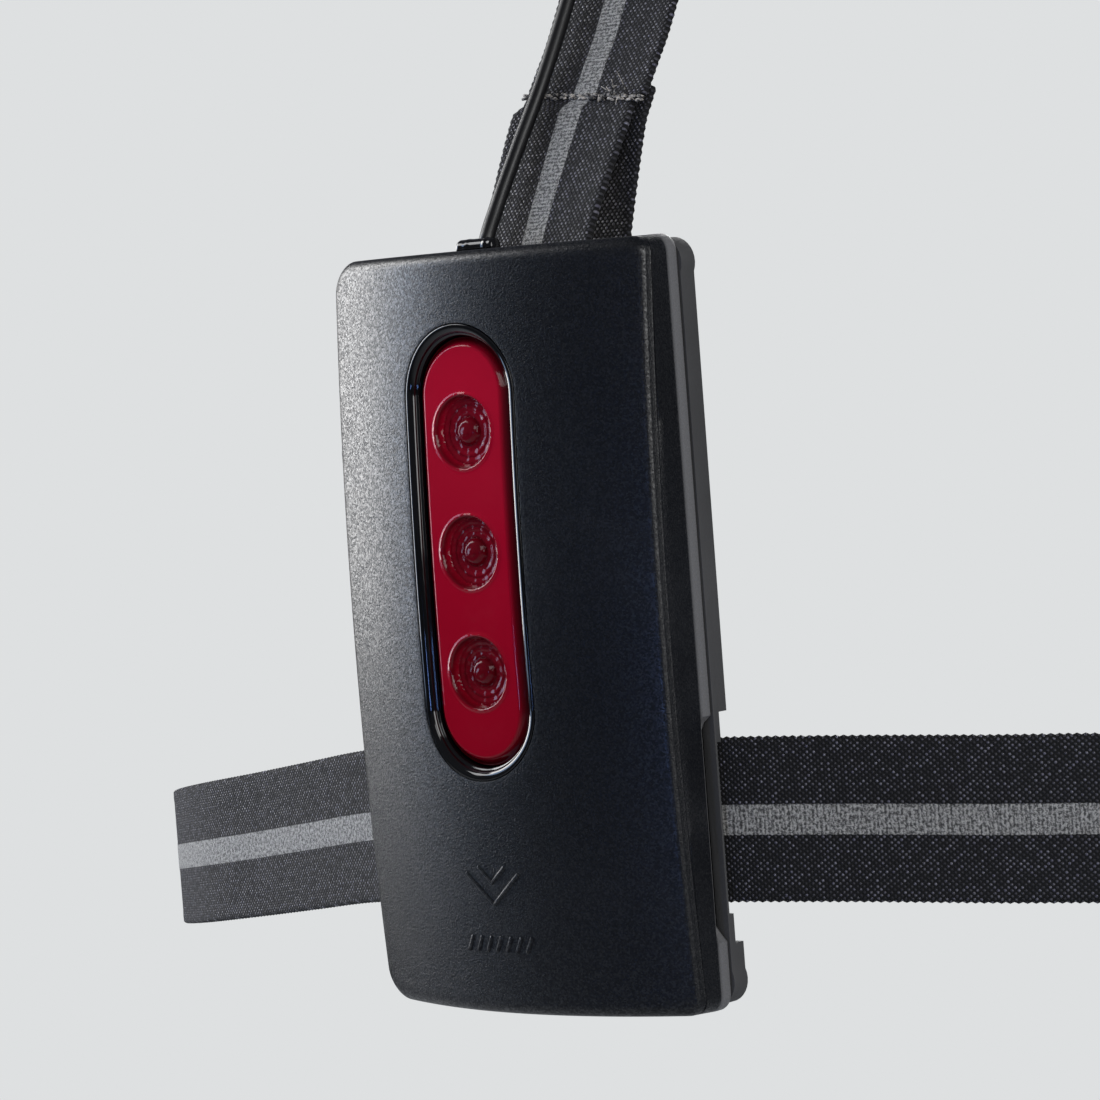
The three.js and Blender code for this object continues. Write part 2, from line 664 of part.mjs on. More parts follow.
const leadRoute = [
  [-8.6, -5.8, 62.1], [-8.8, -3.2, 64.2], [-9, 0, 67.4], [-9, 4.6, 75.4], [-9, 9.6, 83.5],
  [-9, 15.5, 93.5], [-9, 21.3, 103.5], [-9, 26.6, 112.2], [-9.3, 28.6, 117.8], [-9.8, 31.5, 124],
  [-12.5, 37.3, 134], [-18, 41.9, 142], [-25.6, 47.2, 150.3], [-33.5, 57.2, 162.8],
  [-40.6, 63.2, 170.4], [-47.4, 70.6, 179.3], [-53.3, 79.1, 188.2], [-58.5, 88.6, 196.8],
  [-62.7, 99.3, 204.8], [-66.9, 123.4, 214.6], [-67, 136.6, 216.3], [-66, 149.8, 215],
  [-63.6, 163.2, 210.9], [-60.3, 175.9, 205.2], [-55.4, 188.6, 197.1], [-49.6, 200.3, 187.4],
  [-35.2, 217.9, 164], [-22.2, 228.2, 141.6], [-11.5, 233, 121], [-5.5, 233.1, 111.5],
  [-1.2, 232, 104], [0, 231, 96], [0, 230.9, 72], [0, 230.9, 50], [0, 231.2, 26],
  [0, 232.6, 2], [0, 233.6, -14], [0, 233.8, -27.3],
];

function makeLead() {
  const route = new THREE.CatmullRomCurve3(leadRoute.map((p) => new THREE.Vector3(...p)));
  const section = new THREE.Shape().absarc(0, 0, leadRadius, 0, 2 * Math.PI);
  const options = { extrudePath: route, steps: 80, curveSegments: 4, bevelEnabled: false };
  addNode("lead", new THREE.ExtrudeGeometry(section, options), rubber);
}

makeRearUnit();
makeCarrier();
makeYoke();
makeShoulderHarness();
addNode("belt_long", makeBeltLong(), cloth);
addNode("belt_short", makeBeltShort(), cloth);
makeBuckle();
makeLamp();
makeLead();

export default part;
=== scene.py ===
import json
import math

import bmesh
import bpy
import numpy as np
from mathutils import Matrix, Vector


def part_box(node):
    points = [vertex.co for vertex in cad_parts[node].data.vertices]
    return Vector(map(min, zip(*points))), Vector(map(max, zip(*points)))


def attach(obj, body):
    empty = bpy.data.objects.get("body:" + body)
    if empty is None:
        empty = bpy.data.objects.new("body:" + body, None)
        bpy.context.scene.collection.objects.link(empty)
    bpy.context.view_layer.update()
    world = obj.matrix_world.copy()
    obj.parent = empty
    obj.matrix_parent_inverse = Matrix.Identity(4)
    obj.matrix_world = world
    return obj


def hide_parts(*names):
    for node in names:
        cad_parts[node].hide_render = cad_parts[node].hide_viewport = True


# A body-worn running lamp: the looks of every piece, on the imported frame.
# Shapes are worked out in millimetres, with +Z up and +Y from the wearer's back to the chest.

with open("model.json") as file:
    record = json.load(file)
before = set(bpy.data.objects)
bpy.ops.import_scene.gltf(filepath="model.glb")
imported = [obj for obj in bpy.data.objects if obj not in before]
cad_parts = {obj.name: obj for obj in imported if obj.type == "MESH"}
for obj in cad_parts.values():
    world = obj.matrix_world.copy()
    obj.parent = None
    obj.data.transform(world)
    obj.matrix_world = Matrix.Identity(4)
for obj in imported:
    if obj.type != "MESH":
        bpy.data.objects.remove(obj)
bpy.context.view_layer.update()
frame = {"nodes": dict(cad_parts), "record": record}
mm = 0.001
nodeBody = {n: b for b, nodes in frame["record"]["behaviour"]["bodies"].items() for n in nodes}
print("frame loaded,", len(frame["nodes"]), "nodes")


# Lines and grids

def unitVectors(vectors):
    return vectors / np.linalg.norm(vectors, axis=-1, keepdims=True)


def smoothPath(knots, perSpan=24):
    # Centripetal Catmull-Rom: each span is the cubic whose end slopes weigh the neighbouring chords
    # by the square root of their length; the ends are carried on in a straight line.
    k = np.asarray(knots, float)
    k = np.vstack([2 * k[0] - k[1], k, 2 * k[-1] - k[-2]])
    before, start, end, after = k[:-3], k[1:-2], k[2:-1], k[3:]
    first, middle, last = (np.sqrt(np.linalg.norm(b - a, axis=1))[:, None]
                           for a, b in ((before, start), (start, end), (end, after)))
    middle = np.where(middle < 1e-2, 1, middle)  # a repeated point takes its neighbour's gap
    first, last = (np.where(gap < 1e-2, middle, gap) for gap in (first, last))
    leave = (start - before) / first - (end - before) / (first + middle) + (end - start) / middle
    reach = (end - start) / middle - (after - start) / (middle + last) + (after - end) / last
    leave, reach = leave * middle, reach * middle
    t = np.linspace(0, 1, perSpan, endpoint=False)[None, :, None]
    curve = ((2 * t**3 - 3 * t**2 + 1) * start[:, None] + (t**3 - 2 * t**2 + t) * leave[:, None]
             + (3 * t**2 - 2 * t**3) * end[:, None] + (t**3 - t**2) * reach[:, None])
    return np.vstack([curve.reshape(-1, k.shape[1]), k[-2]])


def runAlong(line):
    # How far along the line each of its points is.
    return np.concatenate([[0], np.cumsum(np.linalg.norm(np.diff(line, axis=0), axis=1))])


def evenly(step, line, *others):
    # The line at even distances along its own length, and the other arrays at the same places.
    run = runAlong(line)
    at = np.linspace(0, run[-1], max(int(round(run[-1] / step)), 2) + 1)
    picked = [np.stack([np.interp(at, run, column) for column in a.T], 1) for a in (line, *others)]
    return (at, *picked)


def smoothStep(value, low, high):
    t = np.clip((value - low) / (high - low), 0, 1)
    return t * t * (3 - 2 * t)


def gridFaces(rows, columns, closeRows=False, closeColumns=False, start=0):
    # Quads between neighbouring rows and columns of a grid of points, numbered row by row.
    r = np.arange(rows if closeRows else rows - 1)
    c = np.arange(columns if closeColumns else columns - 1)
    a, b = np.meshgrid(r, c, indexing="ij")
    a2, b2 = (a + 1) % rows, (b + 1) % columns
    quads = np.stack([a * columns + b, a * columns + b2, a2 * columns + b2, a2 * columns + b], -1)
    return (quads.reshape(-1, 4) + start).tolist()


def capFaces(start, columns, count):
    # Quads that close a flat outline: pair by pair, its first points joined to its last ones.
    end = start + columns - 1
    return [[start + i, start + i + 1, end - 1 - i, end - i] for i in range(count)]


def ringAt(flat, y, rise=0.0):
    # A ring from its x and z, at one Y or at one for each point.
    return np.column_stack([flat[:, 0], np.broadcast_to(y, len(flat)), flat[:, 1] + rise])


def tubeGrid(line, radius, sides, reference=(1, 0, 0)):
    # Circles square to a line: centre + radius * (cos a * side + sin a * top), with both ends
    # drawn in to a point over half a radius. The cap's pairs are the way out and the size left.
    tangent = unitVectors(np.gradient(line, axis=0))
    side = unitVectors(np.cross(tangent, np.asarray(reference, float)))
    top = np.cross(side, tangent)
    angle = np.linspace(0, 2 * math.pi, sides, endpoint=False)
    ring = np.cos(angle)[None, :, None] * side[:, None] + np.sin(angle)[None, :, None] * top[:, None]
    radii = np.broadcast_to(np.asarray(radius, float), len(line))[:, None, None]
    body = line[:, None] + ring * radii
    cap = [(0.5, 0.0), (0.42, 0.55), (0.25, 0.88)]
    front = [line[0] - tangent[0] * radii[0] * a + ring[0] * radii[0] * b for a, b in cap]
    back = [line[-1] + tangent[-1] * radii[-1] * a + ring[-1] * radii[-1] * b for a, b in reversed(cap)]
    return np.concatenate([np.array(front), body, np.array(back)])


# Pieces

def makePiece(name, points, faces, material, replaces=(), body=None, uv=None,
              values=None, merge=True, sharp=35):
    # One mesh object at the origin from an array of points in millimetres and a list of faces.
    points = np.asarray(points, float).reshape(-1, 3)
    mesh = bpy.data.meshes.new(name)
    mesh.from_pydata((points * mm).tolist(), [], faces)
    if uv is not None:
        corners = np.zeros(len(mesh.loops), int)
        mesh.loops.foreach_get("vertex_index", corners)
        layer = mesh.uv_layers.new(name="UVMap")
        layer.data.foreach_set("uv", np.asarray(uv, np.float32).reshape(-1, 2)[corners].ravel())
    for label, value in (values or {}).items():
        layer = mesh.attributes.new(label, "FLOAT", "POINT")
        layer.data.foreach_set("value", np.asarray(value, np.float32).ravel())
    tidyNormals(mesh, merge)
    return placePiece(bpy.data.objects.new(name, mesh), material, replaces, body, sharp)


def tidyNormals(mesh, merge):
    work = bmesh.new()
    work.from_mesh(mesh)
    if merge:
        bmesh.ops.remove_doubles(work, verts=work.verts, dist=2e-6)
    bmesh.ops.recalc_face_normals(work, faces=work.faces)
    work.to_mesh(mesh)
    work.free()


def placePiece(piece, material, replaces=(), body=None, sharp=35):
    bpy.context.scene.collection.objects.link(piece)
    piece.data.materials.clear()
    piece.data.materials.append(material)
    piece.data.polygons.foreach_set("use_smooth", [True] * len(piece.data.polygons))
    piece.data.set_sharp_from_angle(angle=math.radians(sharp))
    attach(piece, body or nodeBody[replaces[0]])
    if replaces:
        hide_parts(*replaces)
    return piece


def applied(piece):
    # The piece with its modifiers made part of its mesh.
    graph = bpy.context.evaluated_depsgraph_get()
    mesh = bpy.data.meshes.new_from_object(piece.evaluated_get(graph))
    piece.modifiers.clear()
    piece.data = mesh


def nodeBox(node):
    # The node's two corners in millimetres.
    return [np.array(corner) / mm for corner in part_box(node)]


def softened(node, material, width=0.5, segments=3):
    # The node's own solid with its flat faces made whole and its edges rounded.
    work = bmesh.new()
    work.from_mesh(frame["nodes"][node].data)
    bmesh.ops.remove_doubles(work, verts=work.verts, dist=1e-6)
    bmesh.ops.dissolve_limit(work, angle_limit=math.radians(0.6), verts=work.verts, edges=work.edges)
    bmesh.ops.triangulate(work, faces=work.faces)  # keeps a flat face with a window in it open
    mesh = bpy.data.meshes.new(node + "_moulded")
    work.to_mesh(mesh)
    work.free()
    piece = bpy.data.objects.new(mesh.name, mesh)
    bpy.context.scene.collection.objects.link(piece)
    bevel = piece.modifiers.new("edges", "BEVEL")
    bevel.width = width * mm
    bevel.segments = segments
    bevel.limit_method = "ANGLE"
    bevel.angle_limit = math.radians(28)
    bevel.miter_outer = "MITER_ARC"
    applied(piece)
    bpy.context.scene.collection.objects.unlink(piece)
    return placePiece(piece, material, (node,), sharp=50)


# Node trees

def mathNode(tree, operation, *values, clamp=False):
    node = tree.nodes.new("ShaderNodeMath")
    node.operation = operation
    node.use_clamp = clamp
    for socket, value in zip(node.inputs, values):
        giveSocket(tree, socket, value)
    return node.outputs[0]


def times(tree, first, second, clamp=False):
    return mathNode(tree, "MULTIPLY", first, second, clamp=clamp)


def plus(tree, first, second, clamp=False):
    return mathNode(tree, "ADD", first, second, clamp=clamp)


def minus(tree, first, second, clamp=False):
    return mathNode(tree, "SUBTRACT", first, second, clamp=clamp)


def giveSocket(tree, socket, value):
    if isinstance(value, bpy.types.NodeSocket):
        tree.links.new(value, socket)
    else:
        socket.default_value = value


def mixColours(tree, factor, first, second):
    node = tree.nodes.new("ShaderNodeMix")
    node.data_type = "RGBA"
    giveSocket(tree, node.inputs[0], factor)
    for socket, colour in ((node.inputs[6], first), (node.inputs[7], second)):
        giveSocket(tree, socket, colour if isinstance(colour, bpy.types.NodeSocket) else (*colour, 1))
    return node.outputs[2]


def rangeNode(tree, value, low, high, newLow=0.0, newHigh=1.0, smooth=False):
    node = tree.nodes.new("ShaderNodeMapRange")
    node.interpolation_type = "SMOOTHSTEP" if smooth else "LINEAR"
    for socket, number in zip(node.inputs, (value, low, high, newLow, newHigh)):
        giveSocket(tree, socket, number)
    return node.outputs[0]


def noiseNode(tree, vector, scale, detail=2.0, roughness=0.55):
    node = tree.nodes.new("ShaderNodeTexNoise")
    node.inputs["Scale"].default_value = scale
    node.inputs["Detail"].default_value = detail
    node.inputs["Roughness"].default_value = roughness
    tree.links.new(vector, node.inputs["Vector"])
    return node.outputs[0]


def splitVector(tree, vector):
    node = tree.nodes.new("ShaderNodeSeparateXYZ")
    tree.links.new(vector, node.inputs[0])
    return node.outputs


def attributeNode(tree, name):
    node = tree.nodes.new("ShaderNodeAttribute")
    node.attribute_name = name
    return node.outputs["Fac"]


def voronoiNode(tree, vector, feature, **values):
    node = tree.nodes.new("ShaderNodeTexVoronoi")
    node.feature = feature
    for label, value in values.items():
        node.inputs[label].default_value = value
    tree.links.new(vector, node.inputs["Vector"])
    return node.outputs


def scaledVector(tree, vector, scale):
    node = tree.nodes.new("ShaderNodeVectorMath")
    node.operation = "SCALE"
    tree.links.new(vector, node.inputs[0])
    giveSocket(tree, node.inputs["Scale"], scale)
    return node.outputs[0]


def newGroup(name, inputs, outputs):
    group = bpy.data.node_groups.new(name, "ShaderNodeTree")
    for label, kind, value in inputs:
        socket = group.interface.new_socket(label, in_out="INPUT", socket_type="NodeSocket" + kind)
        if value is not None:
            socket.default_value = value
    for label in outputs:
        group.interface.new_socket(label, in_out="OUTPUT", socket_type="NodeSocketFloat")
    return group, group.nodes.new("NodeGroupInput").outputs, group.nodes.new("NodeGroupOutput").inputs


def placeGroup(tree, group, **values):
    node = tree.nodes.new("ShaderNodeGroup")
    node.node_tree = group
    for label, value in values.items():
        giveSocket(tree, node.inputs[label], value)
    return node.outputs


def newMaterial(name, sockets):
    material = bpy.data.materials.new(name)
    material.use_nodes = True
    shader = material.node_tree.nodes["Principled BSDF"]
    for label, value in sockets.items():
        shader.inputs[label].default_value = value
    return material, material.node_tree, shader


def objectPlace(tree):
    return tree.nodes.new("ShaderNodeTexCoord").outputs["Object"]


def bumpInto(tree, shader, height, depth):
    # Depth is the height of the relief in millimetres.
    node = tree.nodes.new("ShaderNodeBump")
    node.inputs["Strength"].default_value = 1.0
    node.inputs["Distance"].default_value = depth * mm
    tree.links.new(height, node.inputs["Height"])
    tree.links.new(node.outputs[0], shader.inputs["Normal"])


# Shared effects

def makeGrainGroup():
    # Spark-eroded mould grain: round pits of two sizes, a glint for each facet, and a slow change
    # of tone over the piece.
    tree, given, out = newGroup("mould grain", [("Vector", "Vector", None), ("Size", "Float", 0.25)],
                                ["Height", "Tone", "Spark"])
    place = scaledVector(tree, given["Vector"], mathNode(tree, "DIVIDE", 1000.0, given["Size"]))
    pits = voronoiNode(tree, place, "SMOOTH_F1", Scale=0.75, Smoothness=0.6)
    facets = voronoiNode(tree, place, "F1", Scale=1.0)
    spark = mathNode(tree, "POWER", splitVector(tree, facets["Color"])["X"], 1.7)
    tree.links.new(spark, out["Spark"])
    height = plus(tree, times(tree, pits["Distance"], 0.45), noiseNode(tree, place, 1.15, 2.0, 0.7))
    tree.links.new(height, out["Height"])
    tree.links.new(noiseNode(tree, given["Vector"], 38.0, 3.0, 0.6), out["Tone"])
    return tree


def makeWeaveGroup():
    # Woven threads from a map in millimetres: cells of one size, each second row moved half a cell,
    # a rounded thread crown in each cell, root of 1 - 11 u^2 - 3.4 v^2, and a random brightness.
    tree, given, out = newGroup(
        "weave", [("Vector", "Vector", None), ("Across", "Float", 1.0), ("Along", "Float", 1.0)],
        ["Height", "Thread"])
    split = splitVector(tree, given["Vector"])
    row = mathNode(tree, "DIVIDE", split["Y"], given["Along"])
    rowNumber = mathNode(tree, "FLOOR", row)
    odd = times(tree, mathNode(tree, "FLOORED_MODULO", rowNumber, 2.0), 0.5)
    v = minus(tree, mathNode(tree, "FRACT", row), 0.5)
    column = plus(tree, mathNode(tree, "DIVIDE", split["X"], given["Across"]), odd)
    u = minus(tree, mathNode(tree, "FRACT", column), 0.5)
    reach = plus(tree, times(tree, times(tree, u, u), 11.0), times(tree, times(tree, v, v), 3.4))
    crown = minus(tree, 1.0, reach, clamp=True)
    tree.links.new(mathNode(tree, "SQRT", crown), out["Height"])
    cell = tree.nodes.new("ShaderNodeCombineXYZ")
    tree.links.new(mathNode(tree, "FLOOR", column), cell.inputs["X"])
    tree.links.new(rowNumber, cell.inputs["Y"])
    spark = tree.nodes.new("ShaderNodeTexWhiteNoise")
    spark.noise_dimensions = "2D"
    tree.links.new(cell.outputs[0], spark.inputs["Vector"])
    tree.links.new(spark.outputs["Value"], out["Thread"])
    return tree


def makeSmudgeGroup():
    # Handling marks and settled dust: a slow cloud broken up by a finer one, 0 where clean.
    tree, given, out = newGroup("smudges", [("Vector", "Vector", None), ("Size", "Float", 20.0)], ["Mask"])
    place = scaledVector(tree, given["Vector"], mathNode(tree, "DIVIDE", 1000.0, given["Size"]))
    cloud = rangeNode(tree, noiseNode(tree, place, 1.0, 2.0), 0.48, 0.72, smooth=True)
    broken = rangeNode(tree, noiseNode(tree, place, 7.0, 4.0, 0.7), 0.35, 0.75)
    tree.links.new(times(tree, cloud, broken), out["Mask"])
    return tree


grainGroup = makeGrainGroup()
weaveGroup = makeWeaveGroup()
smudgeGroup = makeSmudgeGroup()


# Materials

def mouldedPlastic(name, look):
    # Grained plastic: two tones by the slow noise, roughness that follows the grain, dust in a thin veil.
    material, tree, shader = newMaterial(name, look["sockets"])
    place = objectPlace(tree)
    grain = placeGroup(tree, grainGroup, Vector=place, Size=look["grain"])
    smudge = placeGroup(tree, smudgeGroup, Vector=place, Size=look["smudge"])["Mask"]
    tone = rangeNode(tree, grain["Tone"], 0.3, 0.7)
    colour = mixColours(tree, tone, look["dark"], look["light"])
    colour = mixColours(tree, times(tree, smudge, look["dust"]), colour, (0.20, 0.20, 0.21))
    low, high = look["roughness"]
    if look.get("spark"):
        tree.links.new(times(tree, grain["Spark"], look["spark"]), shader.inputs["Coat Weight"])
    rough = rangeNode(tree, grain["Height"], 0.35, 0.95, low, high)
    rough = plus(tree, rough, times(tree, smudge, 0.12), clamp=True)
    # Painted highlight: where the mesh's band value is set, a lighter grey stands in for light caught by the
    # bevel under the ridge, with a rougher finish.
    if look.get("band"):
        band = attributeNode(tree, "band")
        colour = mixColours(tree, band, colour, look["band"])
        rough = plus(tree, rough, times(tree, band, 0.16), clamp=True)
    tree.links.new(colour, shader.inputs["Base Color"])
    tree.links.new(rough, shader.inputs["Roughness"])
    bumpInto(tree, shader, grain["Height"], look["relief"])
    return material


def makePlastics():
    casing = {
        "sockets": {"Specular IOR Level": 0.3, "Coat Roughness": 0.3, "Coat IOR": 1.55},
        "dark": (0.0030, 0.0036, 0.0052), "light": (0.0055, 0.0065, 0.0090), "spark": 0.9,
        "roughness": (0.27, 0.38), "grain": 0.27, "relief": 0.085, "smudge": 26, "dust": 0.015,
        # The band grey is a painted highlight on the bevel under the ridge, not the plastic's own colour.
        "band": (0.17, 0.17, 0.175),
    }
    shell = {
        "sockets": {"Specular IOR Level": 0.45},
        "dark": (0.062, 0.062, 0.063), "light": (0.080, 0.080, 0.082),
        "roughness": (0.5, 0.66), "grain": 0.34, "relief": 0.03, "smudge": 20, "dust": 0.05,
    }
    acetal = {
        "sockets": {"Specular IOR Level": 0.5},
        "dark": (0.0075, 0.0075, 0.008), "light": (0.011, 0.011, 0.012),
        "roughness": (0.3, 0.42), "grain": 0.3, "relief": 0.008, "smudge": 12, "dust": 0.05,
    }
    return (mouldedPlastic("grainedCasing", casing),
            mouldedPlastic("matteShell", shell),
            mouldedPlastic("blackAcetal", acetal))


def makePolishedBlack():
    material, tree, shader = newMaterial("polishedBlack", {
        "Base Color": (0.004, 0.004, 0.0045, 1), "Coat Weight": 0.3, "Coat Roughness": 0.03})
    place = objectPlace(tree)
    smudge = placeGroup(tree, smudgeGroup, Vector=place, Size=9.0)["Mask"]
    tree.links.new(rangeNode(tree, smudge, 0, 1, 0.07, 0.2), shader.inputs["Roughness"])
    bumpInto(tree, shader, noiseNode(tree, place, 160.0, 2.0), 0.02)
    return material


def makeRedLens():
    # Red plastic: painted light makes it lighter towards the top, as if lit from above, with darker streaks
    # from the mould's flow, and painted shade from the mesh's depth value in the bowls, chamfer and rings.
    material, tree, shader = newMaterial("redPlastic", {
        "IOR": 1.5, "Specular IOR Level": 0.3, "Coat Weight": 0.06, "Coat Roughness": 0.03})
    place = objectPlace(tree)
    # Painted light: the red grows lighter with height, standing in for light falling from above.
    rise = rangeNode(tree, splitVector(tree, place)["Z"], -0.022, 0.047)
    flow = noiseNode(tree, place, 55.0, 3.0, 0.6)
    lit = plus(tree, times(tree, rise, 0.75), times(tree, flow, 0.35))
    colour = mixColours(tree, lit, (0.33, 0.0012, 0.012), (0.58, 0.004, 0.032))
    # Painted shade: the mesh's depth value darkens the red towards near black.
    colour = mixColours(tree, attributeNode(tree, "depth"), colour, (0.05, 0.0006, 0.003))
    tree.links.new(colour, shader.inputs["Base Color"])
    smudge = placeGroup(tree, smudgeGroup, Vector=place, Size=7.0)["Mask"]
    tree.links.new(rangeNode(tree, smudge, 0, 1, 0.1, 0.24), shader.inputs["Roughness"])
    bumpInto(tree, shader, noiseNode(tree, place, 900.0, 2.0), 0.006)
    return material


webbing = {
    "width": 25.0, "narrow": 20.0, "thickness": 1.3, "loopGap": 0.5, "rowStep": 0.65,
    "scallop": 0.13, "bead": 0.07, "stripeHalf": 2.3, "stripeRise": 0.09,
}


def makeWebbing():
    # Black webbing with painted highlights on its thread crowns and painted shade between them, and a grey
    # reflective stripe along its middle; the map is in millimetres, across the web in U and along it in V.
    look = {"cellAcross": 0.88, "cellAlong": 0.52, "rib": 0.62, "relief": 0.38}
    material, tree, shader = newMaterial("stripedWebbing", {
        "Sheen Weight": 0.06, "Sheen Roughness": 0.4, "Specular IOR Level": 0.5})
    place = tree.nodes.new("ShaderNodeTexCoord").outputs["UV"]
    split = splitVector(tree, place)
    weave = placeGroup(tree, weaveGroup, Vector=place, Across=look["cellAcross"], Along=look["cellAlong"])
    # Painted light: thread crowns lighter, tinted violet in patches, as painted highlights of random
    # strength; the gaps between threads near black as painted shade.
    spark = mathNode(tree, "POWER", weave["Thread"], 2.6)
    crown = mathNode(tree, "POWER", weave["Height"], 1.6)
    lit = times(tree, crown, plus(tree, 0.12, spark), clamp=True)
    yarnWithPaintedLight = mixColours(tree, lit, (0.0009, 0.0009, 0.0016), (0.21, 0.207, 0.255))
    violet = rangeNode(tree, noiseNode(tree, place, 0.9, 1.0), 0.5, 0.62, 0.0, 0.55)
    yarnWithPaintedLight = mixColours(tree, times(tree, violet, lit), yarnWithPaintedLight, (0.05, 0.045, 0.10))
    wander = times(tree, minus(tree, noiseNode(tree, place, 1.6, 2.0), 0.5), 0.3)
    edge = mathNode(tree, "ABSOLUTE", plus(tree, split["X"], wander))
    stripeHalf = webbing["stripeHalf"]
    stripe = rangeNode(tree, edge, stripeHalf - 0.08, stripeHalf + 0.06, 1.0, 0.0)
    ribs = mathNode(tree, "SINE", times(tree, split["Y"], 2 * math.pi / look["rib"]))
    beads = noiseNode(tree, place, 1.7, 4.0, 0.9)
    shine = plus(tree, times(tree, ribs, 0.03), beads)
    film = mixColours(tree, rangeNode(tree, shine, 0.45, 0.56), (0.055, 0.055, 0.055), (0.52, 0.515, 0.50))
    worn = rangeNode(tree, noiseNode(tree, place, 1.1, 3.0), 0.66, 0.72)
    film = mixColours(tree, times(tree, worn, 0.45), film, (0.05, 0.05, 0.055))
    tree.links.new(mixColours(tree, stripe, yarnWithPaintedLight, film), shader.inputs["Base Color"])
    sheen = rangeNode(tree, times(tree, crown, weave["Thread"]), 0.0, 0.6, 0.88, 0.3)
    bare = minus(tree, 1.0, stripe)
    rough = plus(tree, times(tree, sheen, bare), times(tree, stripe, 0.55), clamp=True)
    tree.links.new(rough, shader.inputs["Roughness"])
    ribHeight = plus(tree, times(tree, ribs, 0.05), times(tree, beads, 0.6))
    height = plus(tree, times(tree, weave["Height"], bare), times(tree, ribHeight, stripe))
    bumpInto(tree, shader, height, look["relief"])
    return material


def makeRubber(name, dark, rough):
    material, tree, shader = newMaterial(name, {"Specular IOR Level": 0.5})
    place = objectPlace(tree)
    grain = placeGroup(tree, grainGroup, Vector=place, Size=0.3)
    smudge = placeGroup(tree, smudgeGroup, Vector=place, Size=14.0)["Mask"]
    dusty = tuple(2.2 * c for c in dark)
    tree.links.new(mixColours(tree, smudge, dark, dusty), shader.inputs["Base Color"])
    worn = rangeNode(tree, grain["Tone"], 0.3, 0.7, rough - 0.06, rough + 0.08)
    tree.links.new(worn, shader.inputs["Roughness"])
    bumpInto(tree, shader, grain["Height"], 0.008)
    return material


def makeKnit():
    # Spacer mesh over foam: small open cells, near-regular, with fibres between them; painted shade in the
    # cells.
    material, tree, shader = newMaterial("spacerKnit", {
        "Roughness": 0.92, "Sheen Weight": 0.35, "Sheen Roughness": 0.5})
    place = objectPlace(tree)
    cells = voronoiNode(tree, place, "F1", Scale=620.0, Randomness=0.35)
    hole = rangeNode(tree, cells["Distance"], 0.18, 0.42, smooth=True)
    fibre = noiseNode(tree, place, 5200.0, 2.0, 0.7)
    # Painted shade: near black in each cell's hole, lighter on the fibres round it.
    lit = times(tree, hole, fibre)
    colour = mixColours(tree, lit, (0.004, 0.004, 0.0045), (0.045, 0.045, 0.05))
    tree.links.new(colour, shader.inputs["Base Color"])
    bumpInto(tree, shader, plus(tree, hole, times(tree, fibre, 0.4)), 0.3)
    return material


def makeMetal(name, colour, low, high):
    material, tree, shader = newMaterial(name, {"Metallic": 1.0})
    place = objectPlace(tree)
    smudge = placeGroup(tree, smudgeGroup, Vector=place, Size=6.0)["Mask"]
    scratch = noiseNode(tree, place, 1400.0, 3.0, 0.7)
    dull = tuple(0.6 * c for c in colour)
    tree.links.new(mixColours(tree, smudge, colour, dull), shader.inputs["Base Color"])
    tree.links.new(rangeNode(tree, scratch, 0.3, 0.7, low, high), shader.inputs["Roughness"])
    bumpInto(tree, shader, scratch, 0.003)
    return material


def makeClearLens():
    material, tree, shader = newMaterial("clearPlastic", {
        "Base Color": (0.96, 0.98, 1.0, 1), "Transmission Weight": 0.94, "IOR": 1.49})
    place = objectPlace(tree)
    smudge = placeGroup(tree, smudgeGroup, Vector=place, Size=8.0)["Mask"]
    tree.links.new(rangeNode(tree, smudge, 0, 1, 0.02, 0.12), shader.inputs["Roughness"])
    return material


def makeSpeckled(name, dark, light, scale, rough):
    # A painted or cast surface: two tones in patches, and a finer roughness.
    material, tree, shader = newMaterial(name, {"Coat Weight": 0.15})
    place = objectPlace(tree)
    patch = noiseNode(tree, place, scale, 4.0, 0.65)
    colour = mixColours(tree, rangeNode(tree, patch, 0.4, 0.6), dark, light)
    tree.links.new(colour, shader.inputs["Base Color"])
    tree.links.new(rangeNode(tree, patch, 0.3, 0.7, rough, rough + 0.15), shader.inputs["Roughness"])
    bumpInto(tree, shader, patch, 0.02)
    return material


def makeThread():
    # Twisted sewing thread, pale brown and worn.
    material, tree, shader = newMaterial("sewingThread", {"Roughness": 0.7, "Sheen Weight": 0.2})
    place = objectPlace(tree)
    fibre = noiseNode(tree, place, 1100.0, 3.0, 0.8)
    colour = mixColours(tree, rangeNode(tree, fibre, 0.44, 0.6), (0.012, 0.011, 0.011), (0.68, 0.63, 0.57))
    tree.links.new(colour, shader.inputs["Base Color"])
    bumpInto(tree, shader, fibre, 0.06)
    return material


casingMaterial, shellMaterial, acetalMaterial = makePlastics()
glossMaterial = makePolishedBlack()
redMaterial = makeRedLens()
webMaterial = makeWebbing()
leadMaterial = makeRubber("leadJacket", (0.006, 0.006, 0.0065), 0.36)
rubberMaterial = makeRubber("softRubber", (0.012, 0.012, 0.013), 0.62)
knitMaterial = makeKnit()
steelMaterial = makeMetal("plainSteel", (0.42, 0.42, 0.43), 0.22, 0.4)
mirrorMaterial = makeMetal("brightReflector", (0.86, 0.87, 0.88), 0.06, 0.14)
clearMaterial = makeClearLens()
boardMaterial = makeSpeckled("circuitBoard", (0.004, 0.05, 0.016), (0.01, 0.09, 0.03),
                             900.0, 0.3)
wrapMaterial = makeSpeckled("cellWrap", (0.04, 0.10, 0.22), (0.06, 0.14, 0.28), 120.0, 0.35)
ledMaterial = makeSpeckled("ledResin", (0.62, 0.52, 0.16), (0.80, 0.74, 0.40), 2600.0, 0.2)
threadMaterial = makeThread()
print("materials made")


# Camera and lead

